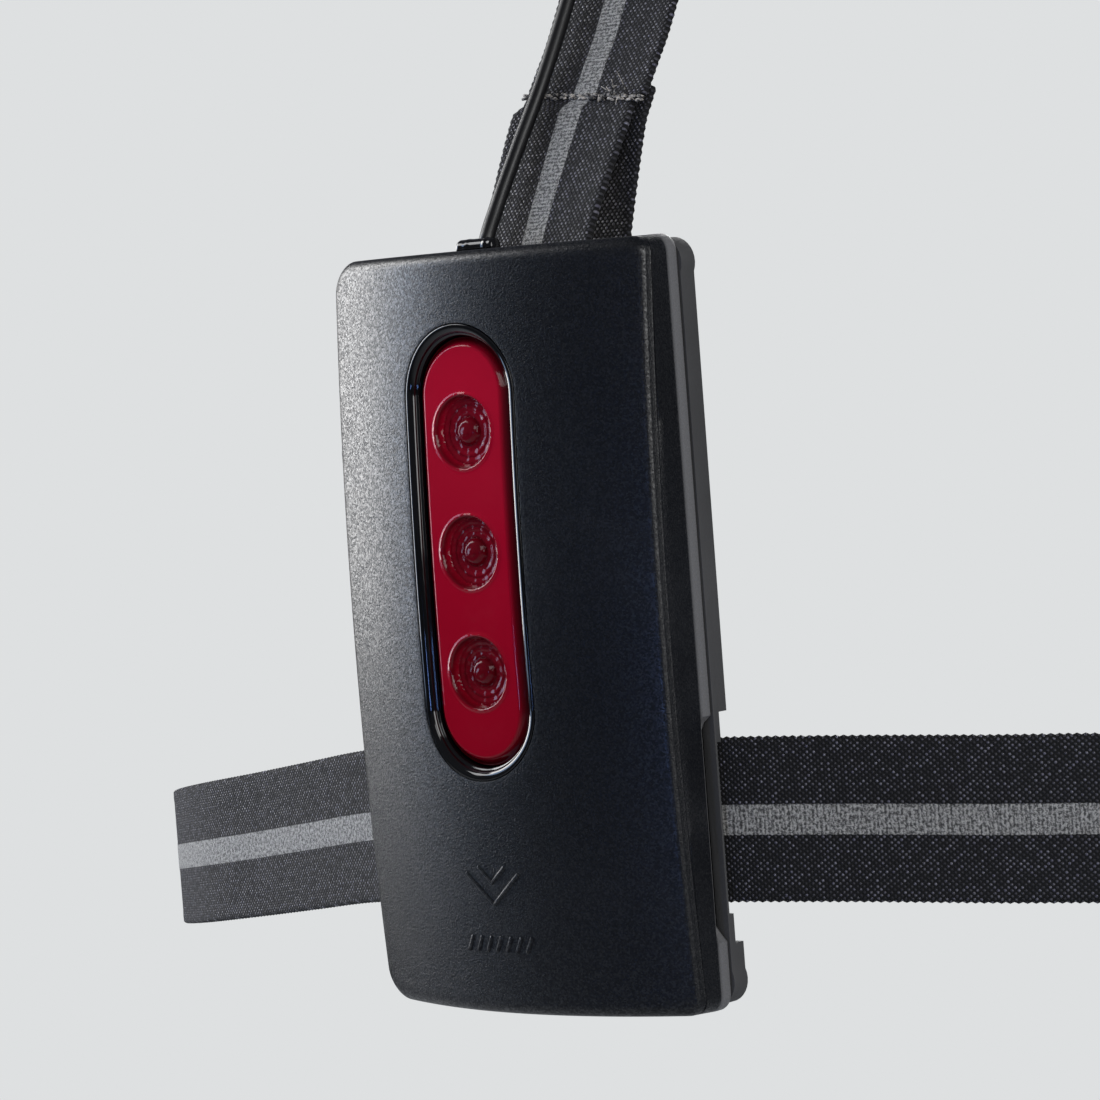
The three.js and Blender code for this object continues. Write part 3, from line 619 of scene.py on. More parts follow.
def makeCamera():
    look = {"aim": (7.442, -15.0, 12.076), "azimuth": 40.235, "elevation": 3.147, "roll": -4.342,
            "distance": 622.062, "lens": 133.74, "sensor": 36.0}
    az, el, roll = (math.radians(look[k]) for k in ("azimuth", "elevation", "roll"))
    back = np.array([math.sin(az) * math.cos(el), -math.cos(az) * math.cos(el), math.sin(el)])
    level = np.array([math.cos(az), math.sin(az), 0.0])
    upright = np.cross(back, level)
    right = level * math.cos(roll) + upright * math.sin(roll)
    up = upright * math.cos(roll) - level * math.sin(roll)
    data = bpy.data.cameras.new("camera")
    data.lens = look["lens"]
    data.sensor_width = look["sensor"]
    data.clip_start, data.clip_end = 0.01, 60
    camera = bpy.data.objects.new("camera", data)
    place = (np.array(look["aim"]) + back * look["distance"]) * mm
    axes = np.column_stack([right, up, back, place])
    camera.matrix_world = Matrix([*axes.tolist(), [0, 0, 0, 1]])
    bpy.context.scene.collection.objects.link(camera)
    bpy.context.scene.camera = camera


makeCamera()

lead = {"radius": 1.2, "sides": 16, "step": 0.9}
leadRoute = [
    [-9.4, -4.8, 60.1], [-9.4, -3.8, 61.9], [-9.4, -2.2, 64.4], [-9.3, -0.4, 67.4],
    [-8.9, 4.6, 75.4], [-8.3, 9.6, 83.5], [-8, 15.5, 93.5], [-8, 21.3, 103.5],
    [-8.6, 26.6, 112.2], [-9.2, 28.6, 117.8], [-9.8, 31.5, 124],
    [-12.5, 37.3, 134], [-18, 41.9, 142], [-25.6, 47.2, 150.3], [-33.5, 57.2, 162.8],
    [-40.6, 63.2, 170.4], [-47.4, 70.6, 179.3], [-53.3, 79.1, 188.2], [-58.5, 88.6, 196.8],
    [-62.7, 99.3, 204.8], [-66.9, 123.4, 214.6], [-67, 136.6, 216.3], [-66, 149.8, 215],
    [-63.6, 163.2, 210.9], [-60.3, 175.9, 205.2], [-55.4, 188.6, 197.1], [-49.6, 200.3, 187.4],
    [-35.2, 217.9, 164], [-22.2, 228.2, 141.6], [-11.5, 233, 121], [-5.5, 233.1, 111.5],
    [-1.2, 232, 104], [0, 231, 96], [0, 230.9, 72], [0, 230.9, 50], [0, 231.2, 26],
    [0, 232.6, 2], [0, 233.6, -14], [0, 233.8, -27.3],
]


def makeLead():
    # The jacket: a circle carried along the smooth route, from the rear unit's gland to the chest lamp's.
    along, line = evenly(lead["step"], smoothPath(leadRoute))
    grid = tubeGrid(line, lead["radius"], lead["sides"])
    faces = gridFaces(len(grid), lead["sides"], closeColumns=True)
    piece = makePiece("lead_jacket", grid, faces, leadMaterial, ("lead",))
    gland, lampGland = makeCableGland(), makeLampGland()


def makeCableGland():
    # A glossy round-ended grommet that lies along the casing's top edge: its radius swells a little
    # where the lead enters and again near the other end.
    look = {"x": -12.9, "y": -6.6, "z": 59.15, "length": 6.6, "radius": 1.28}
    t = np.linspace(0, 1, 40)
    swell = 0.12 * np.exp(-(((t - 0.82) / 0.05) ** 2)) + 0.06 * np.exp(-(((t - 0.25) / 0.08) ** 2))
    radius = look["radius"] + swell
    line = np.column_stack([look["x"] + look["length"] * t, np.full(40, look["y"]), np.full(40, look["z"])])
    grid = tubeGrid(line, radius, 24, (0, 0, 1))
    faces = gridFaces(len(grid), 24, closeColumns=True)
    return makePiece("cable_grommet", grid, faces, glossMaterial, ("cable_gland",))


def makeLampGland():
    # A strain relief turned about the lead's end: a cone with five rings round it.
    look = {"radius": 2.72, "taper": 0.85, "rings": 5, "ringDepth": 0.16}
    low, high = nodeBox("lamp_gland")
    middle = (low + high) / 2
    t = np.linspace(0, 1, 60)
    ridge = look["ringDepth"] * np.cos(2 * math.pi * look["rings"] * t)
    ridge = ridge * smoothStep(t, 0.02, 0.12) * (1 - smoothStep(t, 0.86, 0.97))
    radius = look["radius"] - look["taper"] * t + ridge
    radius[[0, -1]] -= 0.25
    line = np.column_stack([np.full(60, middle[0]), np.full(60, middle[1]),
                            np.linspace(low[2] + 0.6, high[2] - 0.4, 60)])
    grid = tubeGrid(line, radius, 32)
    grid[:3, :, 2] = np.maximum(grid[:3, :, 2], low[2])
    grid[-3:, :, 2] = np.minimum(grid[-3:, :, 2], high[2])
    faces = gridFaces(len(grid), 32, closeColumns=True)
    return makePiece("lamp_strain_relief", grid, faces, rubberMaterial, ("lamp_gland",))


makeLead()
print("camera and lead made")


# Webbing

bar = {"y": 0.7, "z": 55.3, "halfDepth": 3.2, "halfHeight": 1.8}
topBar = {"y": 233.8, "z": -36.1, "halfDepth": 1.5, "halfHeight": 1.9}
sideBar = {"x": 29.35, "y": 233.8, "halfWidth": 1.65, "halfDepth": 1.5}
torso = {"halfWidth": 173.2, "halfDepth": 115.6, "middle": 114.0}
beltHeight = -64.0
chestY = 230.9
strapTilt = math.pi / 6
rearFold = {"seam": 80.6, "slip": 1.9, "turn": 6.0}  # the rear strap's front layer, below its seam


def turnAround(middle, half, start, end, steps):
    # Points round a bar: a superellipse of exponent 2/3 whose half sizes are the bar's, plus air and
    # half the web.
    reach = webbing["loopGap"] + webbing["thickness"] / 2
    angle = np.linspace(start, end, steps + 1)
    bent = [np.sign(f(angle)) * np.abs(f(angle)) ** (2 / 3) for f in (np.cos, np.sin)]
    return np.column_stack([middle[k] + (half[k] + reach) * bent[k] for k in (0, 1)])


def webSection(width):
    # The web's closed outline: distance across and height above its middle, all the way round.
    half, thick = width / 2, webbing["thickness"] / 2
    u = np.linspace(-1, 1, 27) * (half - 0.35)
    stripe = 1 - smoothStep(np.abs(u), webbing["stripeHalf"] - 0.35, webbing["stripeHalf"] + 0.35)
    bead = np.exp(-(((np.abs(u) - half + 1.0) / 0.5) ** 2))
    top = thick - 0.1 + stripe * webbing["stripeRise"] + bead * webbing["bead"]
    ends = np.array([0.12, 0.0, 0.12])
    drop = np.array([0.5, 0.0, -0.5]) * thick
    across = np.concatenate([u, half - ends, u[::-1], -(half - ends)])
    height = np.concatenate([top, drop, -(top[::-1]), -drop])
    return across, height


def webStrap(name, node, line, across, width):
    # The outline carried along the line, its edges drawn in and out at every turn of the weft.
    along, line, across = evenly(webbing["rowStep"], line, across)
    tangent = unitVectors(np.gradient(line, axis=0))
    normal = unitVectors(np.cross(across, tangent))
    u, v = webSection(width)
    wave = webbing["scallop"] * np.cos(math.pi * np.arange(len(line)))[:, None]
    edge = smoothStep(np.abs(u), width / 2 - 0.9, width / 2 - 0.1)[None]
    reach = u[None] + wave * edge * np.sign(u)[None]
    grid = line[:, None] + across[:, None] * reach[..., None] + normal[:, None] * v[None, :, None]
    rows, columns = grid.shape[:2]
    faces = gridFaces(rows, columns, closeColumns=True)
    for start in (0, (rows - 1) * columns):
        faces += capFaces(start, columns, columns // 2 - 1)
    uv = np.stack(np.broadcast_arrays(u[None], along[:, None]), -1)
    return makePiece(name, grid, faces, webMaterial, (node,), uv=uv, merge=False, sharp=70)


def rearStrapPoint(height, offset=0.0):
    # The strap's middle line leans towards the shoulders; an offset moves a point off it, outwards.
    rise = height - 82
    return [12.2 + rise * math.tan(strapTilt) - offset * math.cos(strapTilt),
            height + offset * math.sin(strapTilt)]


def constantAcross(line, across):
    # The same direction across the web at every point of the line.
    return np.broadcast_to(np.array(across, float), line.shape).copy()


def makeRearStrap():
    # Down from the yoke, behind the bar, round it and up in front to the seam that closes the loop.
    half = webbing["thickness"] / 2
    turn = turnAround([bar["y"], bar["z"]], [bar["halfDepth"], bar["halfHeight"]], math.pi, 2 * math.pi, 10)
    down = [(118, 0), (108, 0), (98, 0), (90, 0), (86, 0.4), (83, half), (80.5, half + 0.15)]
    up = [(77, -half - 0.1), (79.5, -half), (82.2, -half)]
    flat = smoothPath([*(rearStrapPoint(*p) for p in down), *turn, *(rearStrapPoint(*p) for p in up)])
    run = runAlong(flat)
    seam, end = run[np.argmax(flat[:, 1] < rearFold["seam"])], run[np.argmin(flat[:, 1])]
    slip = rearFold["slip"] * smoothStep(run, seam - 0.5, seam + 0.5) * (1 - smoothStep(run, end, run[-1]))
    turned = np.radians(rearFold["turn"]) * smoothStep(run, seam, seam + 22)
    turned = turned * (1 - smoothStep(run, seam + 24, end + 6))
    line = np.column_stack([-slip, flat])
    across = np.column_stack([-np.cos(turned), np.sin(turned), 0 * turned])
    return webStrap("rear_webbing", "rear_strap", line, across, webbing["width"])


def makeShoulderStrap(name, side):
    # Tail, round the top bar, up the chest, over the shoulder and down to the yoke in one length.
    knots = np.array([
        [14.3, chestY, 8], [14.3, chestY, 40], [14.3, chestY, 72], [14.3, chestY, 104],
        [19, 229.6, 124], [32, 222, 149], [51, 203, 180], [65, 173, 203],
        [71, 140, 213], [69, 108, 206], [58, 81, 186], [41, 61.2, 163], [20, 48.9, 145.5],
    ])
    facing = np.array([
        [0, 1, 0], [0, 1, 0], [0, 1, 0], [0, 1, 0],
        [0, 1, 0.15], [0.05, 0.9, 0.35], [0.12, 0.72, 0.6], [0.15, 0.36, 0.9],
        [0.15, 0, 1], [0.12, -0.4, 0.9], [0.06, -0.68, 0.7], [0, -0.84, 0.54],
        [0, -math.cos(strapTilt), math.sin(strapTilt)],
    ])
    mirror = np.array([side, 1, 1])
    route, outward = smoothPath(knots * mirror), smoothPath(facing * mirror)
    across = unitVectors(np.cross(unitVectors(np.gradient(route, axis=0)), outward))
    turn = turnAround([topBar["y"], topBar["z"]], [topBar["halfDepth"], topBar["halfHeight"]],
                      2 * math.pi, math.pi, 8)
    loop = smoothPath([[232.35, 20], [232.3, 9], [232.4, 0], [234.6, -22], *turn,
                       [chestY, -18], [chestY, 0], [chestY, 6]])
    loop = np.column_stack([np.full(len(loop), side * 14.3), loop])
    across = np.vstack([constantAcross(loop, (-1, 0, 0)), across])
    return webStrap("shoulder_webbing_" + name, "shoulder_strap_" + name, np.vstack([loop, route]),
                    across, webbing["narrow"])


def aroundTorso(degrees, height):
    # A point on the wearer's oval, counted from the middle of the back.
    angle = math.radians(degrees)
    return [torso["halfWidth"] * math.sin(angle), torso["middle"] - torso["halfDepth"] * math.cos(angle),
            height]


def beltLoop(side):
    # The belt's sewn tail and its turn round the side bar of the chest lamp's base.
    turn = turnAround([sideBar["x"], sideBar["y"]], [sideBar["halfWidth"], sideBar["halfDepth"]],
                      math.pi / 2, 1.5 * math.pi, 8)
    flat = [[54, 227.3], [48, 229.6], [42, 231.6], [36, 234.6], *turn, [33, 230.4]]
    return [[side * x, y, beltHeight] for x, y in flat]


def makeBelts():
    # The long side runs from the lamp's base round the back, through the rear unit, to the buckle;
    # the knots round the torso are degrees and heights.
    left = [(-160, -64.2), (-140, -62.6), (-120, -59.4), (-100, -55.8), (-80, -53.9),
            (-70, -52.1), (-60, -49.7), (-50, -46.7), (-40, -43.3)]
    rear = [[-88, 16, -39.8], [-70, 8.7, -37], [-50, 0.6, -33.9], [-33, -6.2, -32],
            [-20, -7, -31.4], [0, -7, -30.9], [20, -7, -30.4], [33, -6.2, -30],
            [50, 0.6, -30.5], [70, 8.7, -31.3], [88, 16, -31.9]]
    right = [(44, -35), (62, -40), (80, -46), (98, -51.6)]
    toSocket = [[167.2, 151.5, -56.2], [160.4, 174.3, -59.9], [151.8, 181, -60.4]]
    longKnots = [*beltLoop(-1), [-37, 229.6, -64], *(aroundTorso(*p) for p in left), *rear,
                 *(aroundTorso(*p) for p in right), *toSocket]
    shortKnots = [*beltLoop(1), [37, 229.6, -64], [54, 227.6, -64], [74, 224.4, -63.2], [91, 220.6, -61.6],
                  [104.5, 215, -60.5], [115.5, 207.1, -60.4]]
    for name, knots, up in (("long", longKnots, -1), ("short", shortKnots, 1)):
        line = smoothPath(knots)
        across = constantAcross(line, (0, 0, up))
        webStrap("belt_webbing_" + name, "belt_" + name, line, across, webbing["width"])


def makeStitches(name, line, outward, body, length=1.6, pitch=2.2, radius=0.24, seed=3):
    # A row of stitches: one short rounded thread, bowed off the web, repeated along the line with a
    # little change of place and angle.
    draw = np.random.default_rng(seed)
    _, line, outward = evenly(pitch, np.asarray(line, float), np.asarray(outward, float))
    tangent = unitVectors(np.gradient(line, axis=0))
    outward = unitVectors(outward)
    side = np.cross(tangent, outward)
    t = np.linspace(-1, 1, 7)
    angle = np.linspace(0, 2 * math.pi, 6, endpoint=False)
    fat = radius * np.sqrt(np.clip(1 - t**6, 0.02, 1))
    run = t[:, None] * length / 2 + 0 * angle
    lift = radius * 0.4 + 0.22 * (1 - t**2)[:, None] + fat[:, None] * np.cos(angle)
    wide = fat[:, None] * np.sin(angle)
    count = len(line)
    turn = draw.normal(0, 0.12, count)
    along = tangent * np.cos(turn)[:, None] + side * np.sin(turn)[:, None]
    beside = side * np.cos(turn)[:, None] - tangent * np.sin(turn)[:, None]
    places = line + side * draw.normal(0, 0.1, count)[:, None]
    grid = (places[:, None, None] + along[:, None, None] * run[None, ..., None]
            + beside[:, None, None] * wide[None, ..., None] + outward[:, None, None] * lift[None, ..., None])
    faces = []
    for start in range(0, count * t.size * angle.size, t.size * angle.size):
        faces += gridFaces(t.size, angle.size, closeColumns=True, start=start)
        faces += [[start + i for i in range(6)], [start + 36 + i for i in range(6)]]
    return makePiece(name, grid, faces, threadMaterial, body=body, merge=False)


def makeLooseThreads():
    # Frayed ends of the sewing thread, short curls that stand off the strap beside the seam.
    draw = np.random.default_rng(11)
    y, z = rearStrapPoint(80.2, 1.5)
    t = np.linspace(0, 1, 14)[:, None]
    points, faces, total = [], [], 0
    for _ in range(11):
        root = np.array([6.2 + draw.normal(0, 1.3), y, z + draw.normal(0, 0.25)])
        reach = np.array([draw.normal(0.4, 1.1), -0.35 - 0.5 * draw.random(), draw.normal(1.7, 1.5)])
        curl = np.array([draw.normal(0, 0.8), -0.3, draw.normal(0, 0.7)])
        line = root + reach * t + curl * np.sin(math.pi * t)
        grid = tubeGrid(line, 0.13 * (1 - 0.5 * t[:, 0]), 5, (0, 1, 0))
        faces += gridFaces(len(grid), 5, closeColumns=True, start=total)
        points.append(grid.reshape(-1, 3))
        total += len(points[-1])
    makePiece("loose_threads", np.vstack(points), faces, threadMaterial, body="root")


def makeSeams():
    # Two rows across the rear loop, two across each shoulder strap's tail, two down each belt end.
    outward = [0, -math.cos(strapTilt), math.sin(strapTilt)]
    proud = webbing["thickness"] + 0.05
    for k, rise in enumerate((0.0, 0.5)):
        line = [[x, *rearStrapPoint(h + rise, proud)] for x, h in ((-12.2, 81.6), (12, 79.2))]
        makeStitches(f"loop_seam_{k + 1}", line, [outward, outward], "root", 1.7, 2.0 - 0.4 * k, 0.25, 5 + k)
    makeLooseThreads()
    for side, name in ((-1, "left"), (1, "right")):
        for k, z in enumerate((1.5, 15.5)):
            line = [[side * 14.3 + x, 233.05, z] for x in (-8.6, 8.6)]
            makeStitches(f"tail_seam_{name}_{k + 1}", line, [[0, 1, 0]] * 2, "root", 1.5, 2.0, 0.2, 20 + k)
        for k, (x, y) in enumerate(((44.5, 231.5), (51, 229.3))):
            line = [[side * x, y, beltHeight + h] for h in (-11, 11)]
            outward = [[side * 0.35, 1, 0]] * 2
            makeStitches(f"belt_seam_{name}_{k + 1}", line, outward, "root", 1.5, 2.0, 0.2, 30 + k)


makeRearStrap()
makeShoulderStrap("left", -1)
makeShoulderStrap("right", 1)
makeBelts()
makeSeams()
print("webbing made")


# Rear unit

unit = {
    "halfWidth": 32.1, "ridgeHalf": 31.3, "halfHeight": 58.4, "crown": 7.0, "bow": 2.1,
    "ridge": -18.8, "parting": -9.6, "wall": 1.8, "corner": 5.0, "bandFrom": -12.3,
    "sideRound": 0.4, "leftRound": 0.45, "endRound": 1.9, "rightCorner": 2.7,
}
window = {"middle": 12.7, "pitch": 18.35, "radius": 10.7, "length": 69.0, "sunk": 1.4, "across": -0.7}


def faceAt(x, z, depth=0.0):
    # The crowned face: a parabola across, and a second one up and down.
    across = unit["crown"] * (1 - (x / unit["ridgeHalf"]) ** 2)
    return unit["ridge"] + unit["bow"] * (z / 55) ** 2 - np.maximum(across, 0) + depth


def roundedOutline(halfWidth, halfHeight, radii, spacing, arcSteps):
    # A rounded rectangle, corner by corner: quarter circles joined by evenly divided straight runs.
    # The radii are the right-hand corners' and the left-hand corners'.
    right, left = radii if isinstance(radii, tuple) else (radii, radii)
    points, normals = [], []
    corners = [(1, 1, 0, right), (-1, 1, 1, left), (-1, -1, 2, left), (1, -1, 3, right)]
    runs = [2 * halfWidth - right - left, 2 * (halfHeight - left)] * 2
    runs[3] = 2 * (halfHeight - right)
    for (sx, sz, quarter, radius), run in zip(corners, runs):
        angle = np.linspace(quarter, quarter + 1, arcSteps + 1) * math.pi / 2
        out = np.column_stack([np.cos(angle), np.sin(angle)])
        middle = np.array([sx * (halfWidth - radius), sz * (halfHeight - radius)])
        points.append(middle + radius * out)
        normals.append(out)
        count = max(int(spacing and round(run / spacing)), 1)
        t = np.linspace(0, 1, count + 1)[1:-1, None]
        direction = np.array([-out[-1][1], out[-1][0]])
        points.append(points[-1][-1] + direction * run * t)
        normals.append(np.repeat(out[-1:], len(t), 0))
    return np.vstack(points), np.vstack(normals)


def slotOutline(outer, radius, halfRun, middle):
    # Where rays from the slot's middle through the outer points meet a slot of that radius: on its
    # straight side, or else on the half circle at that end.
    ray = unitVectors(outer - [window["across"], middle])
    toSide = radius / np.maximum(np.abs(ray[:, 0]), 1e-9)
    onSide = np.abs(ray[:, 1]) * toSide <= halfRun
    ahead = np.abs(ray[:, 1]) * halfRun
    toEnd = ahead + np.sqrt(np.maximum(ahead**2 - halfRun**2 + radius**2, 0))
    return ray * np.where(onSide, toSide, toEnd)[:, None] + [window["across"], middle]


def beltRecess(x, z):
    # How far the casing's side draws in where the belt comes out, 0 to 1.
    upDown = smoothStep(z, -47.6, -46.2) * (1 - smoothStep(z, -15.4, -14.0))
    return upDown * smoothStep(np.abs(x), 27, 30.5)


def makeFrontCover():
    # Rings from the slot's edge over the face, round the ridge and down the side to the parting
    # line, then back inside at one wall's distance; the last ring meets the first.
    slotRadius = window["radius"] + 0.3
    halfRun = window["length"] / 2 - window["radius"]
    corners = (unit["rightCorner"], unit["corner"])
    outline, normal = roundedOutline(unit["ridgeHalf"], unit["halfHeight"], corners, 1.1, 14)
    endness = np.abs(normal[:, 1]) ** 2
    side = np.where(normal[:, 0] > 0, unit["sideRound"], unit["leftRound"])
    rounding = side + (unit["endRound"] - side) * endness
    rings, bands = [], []

    def addRing(flat, y, band=0.0):
        rings.append(ringAt(flat, y))
        bands.append(np.full(len(flat), band))

    for inset, drop in ((0.0, 2.2), (0.0, 0.4), (0.04, 0.16), (0.15, 0.03), (0.35, 0.0)):
        flat = slotOutline(outline, slotRadius + inset, halfRun, window["middle"])
        addRing(flat, faceAt(flat[:, 0], flat[:, 1], drop))
    slotEdge = slotOutline(outline, slotRadius + 0.35, halfRun, window["middle"])
    ridgeEdge = outline - normal * rounding[:, None]
    for t in np.linspace(0, 1, 30)[1:]:
        flat = slotEdge + (ridgeEdge - slotEdge) * t
        addRing(flat, faceAt(flat[:, 0], flat[:, 1]))
    # The ridge: part quarter circle, part straight flat at the sides, and all quarter circle at the ends.
    for t in np.linspace(0, 1, 9)[1:]:
        inward = (1 - math.sin(t * math.pi / 2)) * (0.35 + 0.65 * endness) + (1 - t) * 0.65 * (1 - endness)
        fall = (1 - math.cos(t * math.pi / 2)) * (0.35 + 0.65 * endness) + t * 0.65 * (1 - endness)
        flat = outline - normal * (rounding * inward)[:, None]
        addRing(flat, faceAt(flat[:, 0], flat[:, 1]) + rounding * fall)
    top = rings[-1][:, 1]
    draft = unit["halfWidth"] - unit["ridgeHalf"]
    sideways = np.abs(normal[:, 0])
    step = smoothStep(normal[:, 0], 0.6, 0.95)
    for down, lift in ((0.85, 0.0), (0.95, 0.07), (1.1, 0.12), (1.3, 0.12)):
        addRing(outline + normal * (draft * 0.08 * sideways + lift * step)[:, None], top + down)
    for t in (0.25, 0.45, 0.65, 0.85, 1.0):
        y = top + (unit["bandFrom"] - top) * t
        addRing(outline + normal * (draft * 0.8 * t * sideways + 0.12 * (1 - t) * step)[:, None], y)
    # The last value of each ring paints a highlight on the band under the ridge, in the casing's band grey.
    for y, reach, band in ((-12.0, 0.86, 0.7), (-11.6, 0.94, 1), (-10.8, 1.0, 1), (-10.1, 1.0, 1),
                           (-9.8, 0.86, 0.6), (unit["parting"], 0.45, 0.2)):
        flat = outline + normal * (draft * reach * sideways)[:, None]
        drawnIn = beltRecess(flat[:, 0], flat[:, 1]) * 1.9 * smoothStep(y, -12.2, -11.5)
        flat[:, 0] -= np.sign(flat[:, 0]) * drawnIn
        addRing(flat, y, band)
    wall = unit["wall"]
    inner = outline - normal * wall
    addRing(outline - normal * 1.2, unit["parting"])
    addRing(inner, unit["parting"])
    addRing(inner, top + 0.6)
    for t in np.linspace(1, 0, 14):
        flat = slotEdge + (inner - normal * 0.8 - slotEdge) * t
        addRing(flat, faceAt(flat[:, 0], flat[:, 1], wall))
    flat = slotOutline(outline, slotRadius + 0.05, halfRun, window["middle"])
    addRing(flat, faceAt(flat[:, 0], flat[:, 1], 2.3))
    faces = gridFaces(len(rings), len(outline), closeRows=True, closeColumns=True)
    makePiece("face_cover", np.array(rings), faces, casingMaterial, ("front_cover",),
              values={"band": np.array(bands)}, sharp=40)


def makeEmblem():
    # Two nested chevrons and a row of ticks, low half-round ridges that lie on the face.
    strokes = [[(-6, -36.4), (-0.8, -41.2), (4.4, -36.4)], [(-3.4, -35.4), (-0.8, -37.8), (1.8, -35.4)]]
    strokes += [[(x, -48.4), (x + 1.1, -46.2)] for x in np.linspace(-7.2, 4.6, 7)]
    points, faces, total = [], [], 0
    for stroke in strokes:
        _, flat = evenly(0.25, np.array(stroke, float))
        line = ringAt(flat, faceAt(flat[:, 0], flat[:, 1], 0.12))
        grid = tubeGrid(line, 0.36, 10, (0, 1, 0))
        points.append(grid.reshape(-1, 3))
        faces += gridFaces(len(grid), 10, closeColumns=True, start=total)
        total += len(points[-1])
    makePiece("emblem", np.vstack(points), faces, casingMaterial, body="root")


def slotRing(radius, run, columns=220):
    # A slot's outline at even steps: half circles at the ends of two straight runs, as x and z.
    straight = np.linspace(-1, 1, columns // 4, endpoint=False)
    angle = np.linspace(0, math.pi, columns // 4, endpoint=False)
    side = np.column_stack([np.full(len(straight), radius), straight * run])
    cap = np.column_stack([radius * np.cos(angle), run + radius * np.sin(angle)])
    half = np.vstack([side, cap])
    return np.vstack([half, -half]) + [window["across"], window["middle"]]


def makeLensBezel():
    # A polished frame: its rim lies flush with the face and rolls over into a stepped inner wall.
    # The profile's pairs are the slot's radius and the depth under the face.
    run = window["length"] / 2 - window["radius"]
    profile = [(10.92, 1.6), (10.92, 0.1), (10.88, 0.05), (10.75, 0.03), (10.55, 0.05), (10.3, 0.12),
               (10.05, 0.24), (9.82, 0.44), (9.66, 0.7), (9.58, 0.95), (9.53, 1.12), (9.38, 1.2), (9.22, 1.3),
               (9.16, 1.5), (9.16, 2.3), (9.16, 4.6), (12.6, 4.7), (12.6, 3.0), (11.6, 2.7), (10.92, 2.6)]
    rings = []
    for radius, depth in profile:
        flat = slotRing(radius, run)
        rings.append(ringAt(flat, faceAt(flat[:, 0], flat[:, 1], depth)))
    grid = np.array(rings)
    faces = gridFaces(*grid.shape[:2], closeRows=True, closeColumns=True)
    makePiece("lens_frame", grid, faces, glossMaterial, ("lens_bezel",), sharp=60)


lens = {"radius": 8.9, "chamfer": 1.5, "chamferDepth": 1.15, "optic": 5.79, "across": 96, "along": 340}


def makeTailLens():
    # A height field over the slot: a flat window, a chamfer down to its edge, and three bowls.
    # Each bowl has a bead round it, a steep wall, a floor that falls in small rings, radial facets
    # and a dome in the middle.
    run = window["length"] / 2 - window["radius"]
    tip = run + lens["radius"]
    near = tip - 0.6
    v = np.concatenate([np.linspace(-tip, -near, 10)[:-1], np.linspace(-near, near, lens["along"]),
                        np.linspace(near, tip, 10)[1:]])
    beyond = np.maximum(np.abs(v) - run, 0)
    halfWidth = np.sqrt(np.maximum(lens["radius"] ** 2 - beyond**2, 0))
    u = np.linspace(-1, 1, lens["across"])
    x = halfWidth[:, None] * u[None]
    z = np.broadcast_to(v[:, None], x.shape)
    toEdge = lens["radius"] - np.hypot(x, np.maximum(np.abs(z) - run, 0))
    chamfer = 1 - smoothStep(toEdge, 0.0, lens["chamfer"])
    depth = window["sunk"] + lens["chamferDepth"] * chamfer
    # Painted shade values: darker near the chamfer at the lens's edge.
    shade = 0.85 * (1 - smoothStep(toEdge, 0.25, lens["chamfer"] + 0.1))
    for k in (-1, 0, 1):
        rho = np.hypot(x, z - k * window["pitch"])
        turn = np.arctan2(z - k * window["pitch"], x)
        inside = 1 - smoothStep(rho, lens["optic"] - 0.75, lens["optic"] - 0.25)
        fall = 1.15 + 0.5 * (1 - rho / lens["optic"]) + 0.07 * np.floor(rho / 0.55) % 0.14
        facets = 0.09 * np.abs(np.sin(6 * turn)) * smoothStep(rho, 2.2, 3.2)
        dome = 1.2 * np.sqrt(np.clip(1 - (rho / 2.15) ** 2, 0, 1))
        bead = 0.16 * np.exp(-(((rho - lens["optic"]) / 0.22) ** 2))
        depth = depth + inside * (fall + facets - dome) - bead
        # Painted shade inside each bowl, less around the dome, and along two thin dark rings.
        shade = np.maximum(shade, inside * (0.72 - 0.3 * smoothStep(rho, 2.0, 3.0)))
        shade = np.maximum(shade, 0.7 * np.exp(-(((rho - 3.9) / 0.2) ** 2)))
        shade = np.maximum(shade, 0.85 * np.exp(-(((rho - lens["optic"] + 0.35) / 0.28) ** 2)))
    z = z + window["middle"]
    front = np.stack([x + window["across"], faceAt(0 * x, z) + depth, z], -1)
    back = front[:, ::-8].copy()
    back[..., 1] = -19.7
    grid = np.concatenate([front, back], 1)
    # The back and sides get a dark painted shade value.
    values = np.concatenate([shade, np.full(back.shape[:2], 0.9)], 1)
    faces = gridFaces(*grid.shape[:2], closeColumns=True)
    makePiece("red_lens", grid, faces, redMaterial, ("tail_lens",), values={"depth": values}, sharp=38)


def makeScrews():
    # A pan head with a crossed recess: the dome's height less a cross-shaped well, on polar rings.
    head = {"radius": 2.15, "top": -6.12, "edge": -6.65, "across": 25.5, "well": 0.55}
    rho = np.linspace(0, 1, 30)[:, None]
    angle = np.linspace(0, 2 * math.pi, 96, endpoint=False)[None]
    x, z = rho * np.cos(angle), rho * np.sin(angle)
    arm = np.minimum(np.abs(x), np.abs(z))
    reach = np.maximum(np.abs(x), np.abs(z))
    well = (1 - smoothStep(arm, 0.11, 0.17)) * (1 - smoothStep(reach, 0.58, 0.66))
    y = head["top"] - (head["top"] - head["edge"]) * rho**3 - head["well"] * well * (1 - 0.4 * reach)
    for k, (side, height) in enumerate(((-1, -51.5), (1, -51.5), (-1, 53), (1, 53))):
        middle = head["across"] * side
        grid = np.stack([middle + head["radius"] * x, y + 0 * x, height + head["radius"] * z], -1)
        skirt, under = grid[-1:].copy(), grid[-1:].copy()
        skirt[..., 1], under[..., 1] = -7.2, -7.25
        under[..., 0] = middle + (under[..., 0] - middle) * 0.02
        under[..., 2] = height + (under[..., 2] - height) * 0.02
        grid = np.concatenate([grid, skirt, under])
        faces = gridFaces(len(grid), 96, closeColumns=True)
        makePiece(f"cross_screw_{k + 1}", grid, faces, steelMaterial, (f"screw_{k + 1}",), sharp=40)


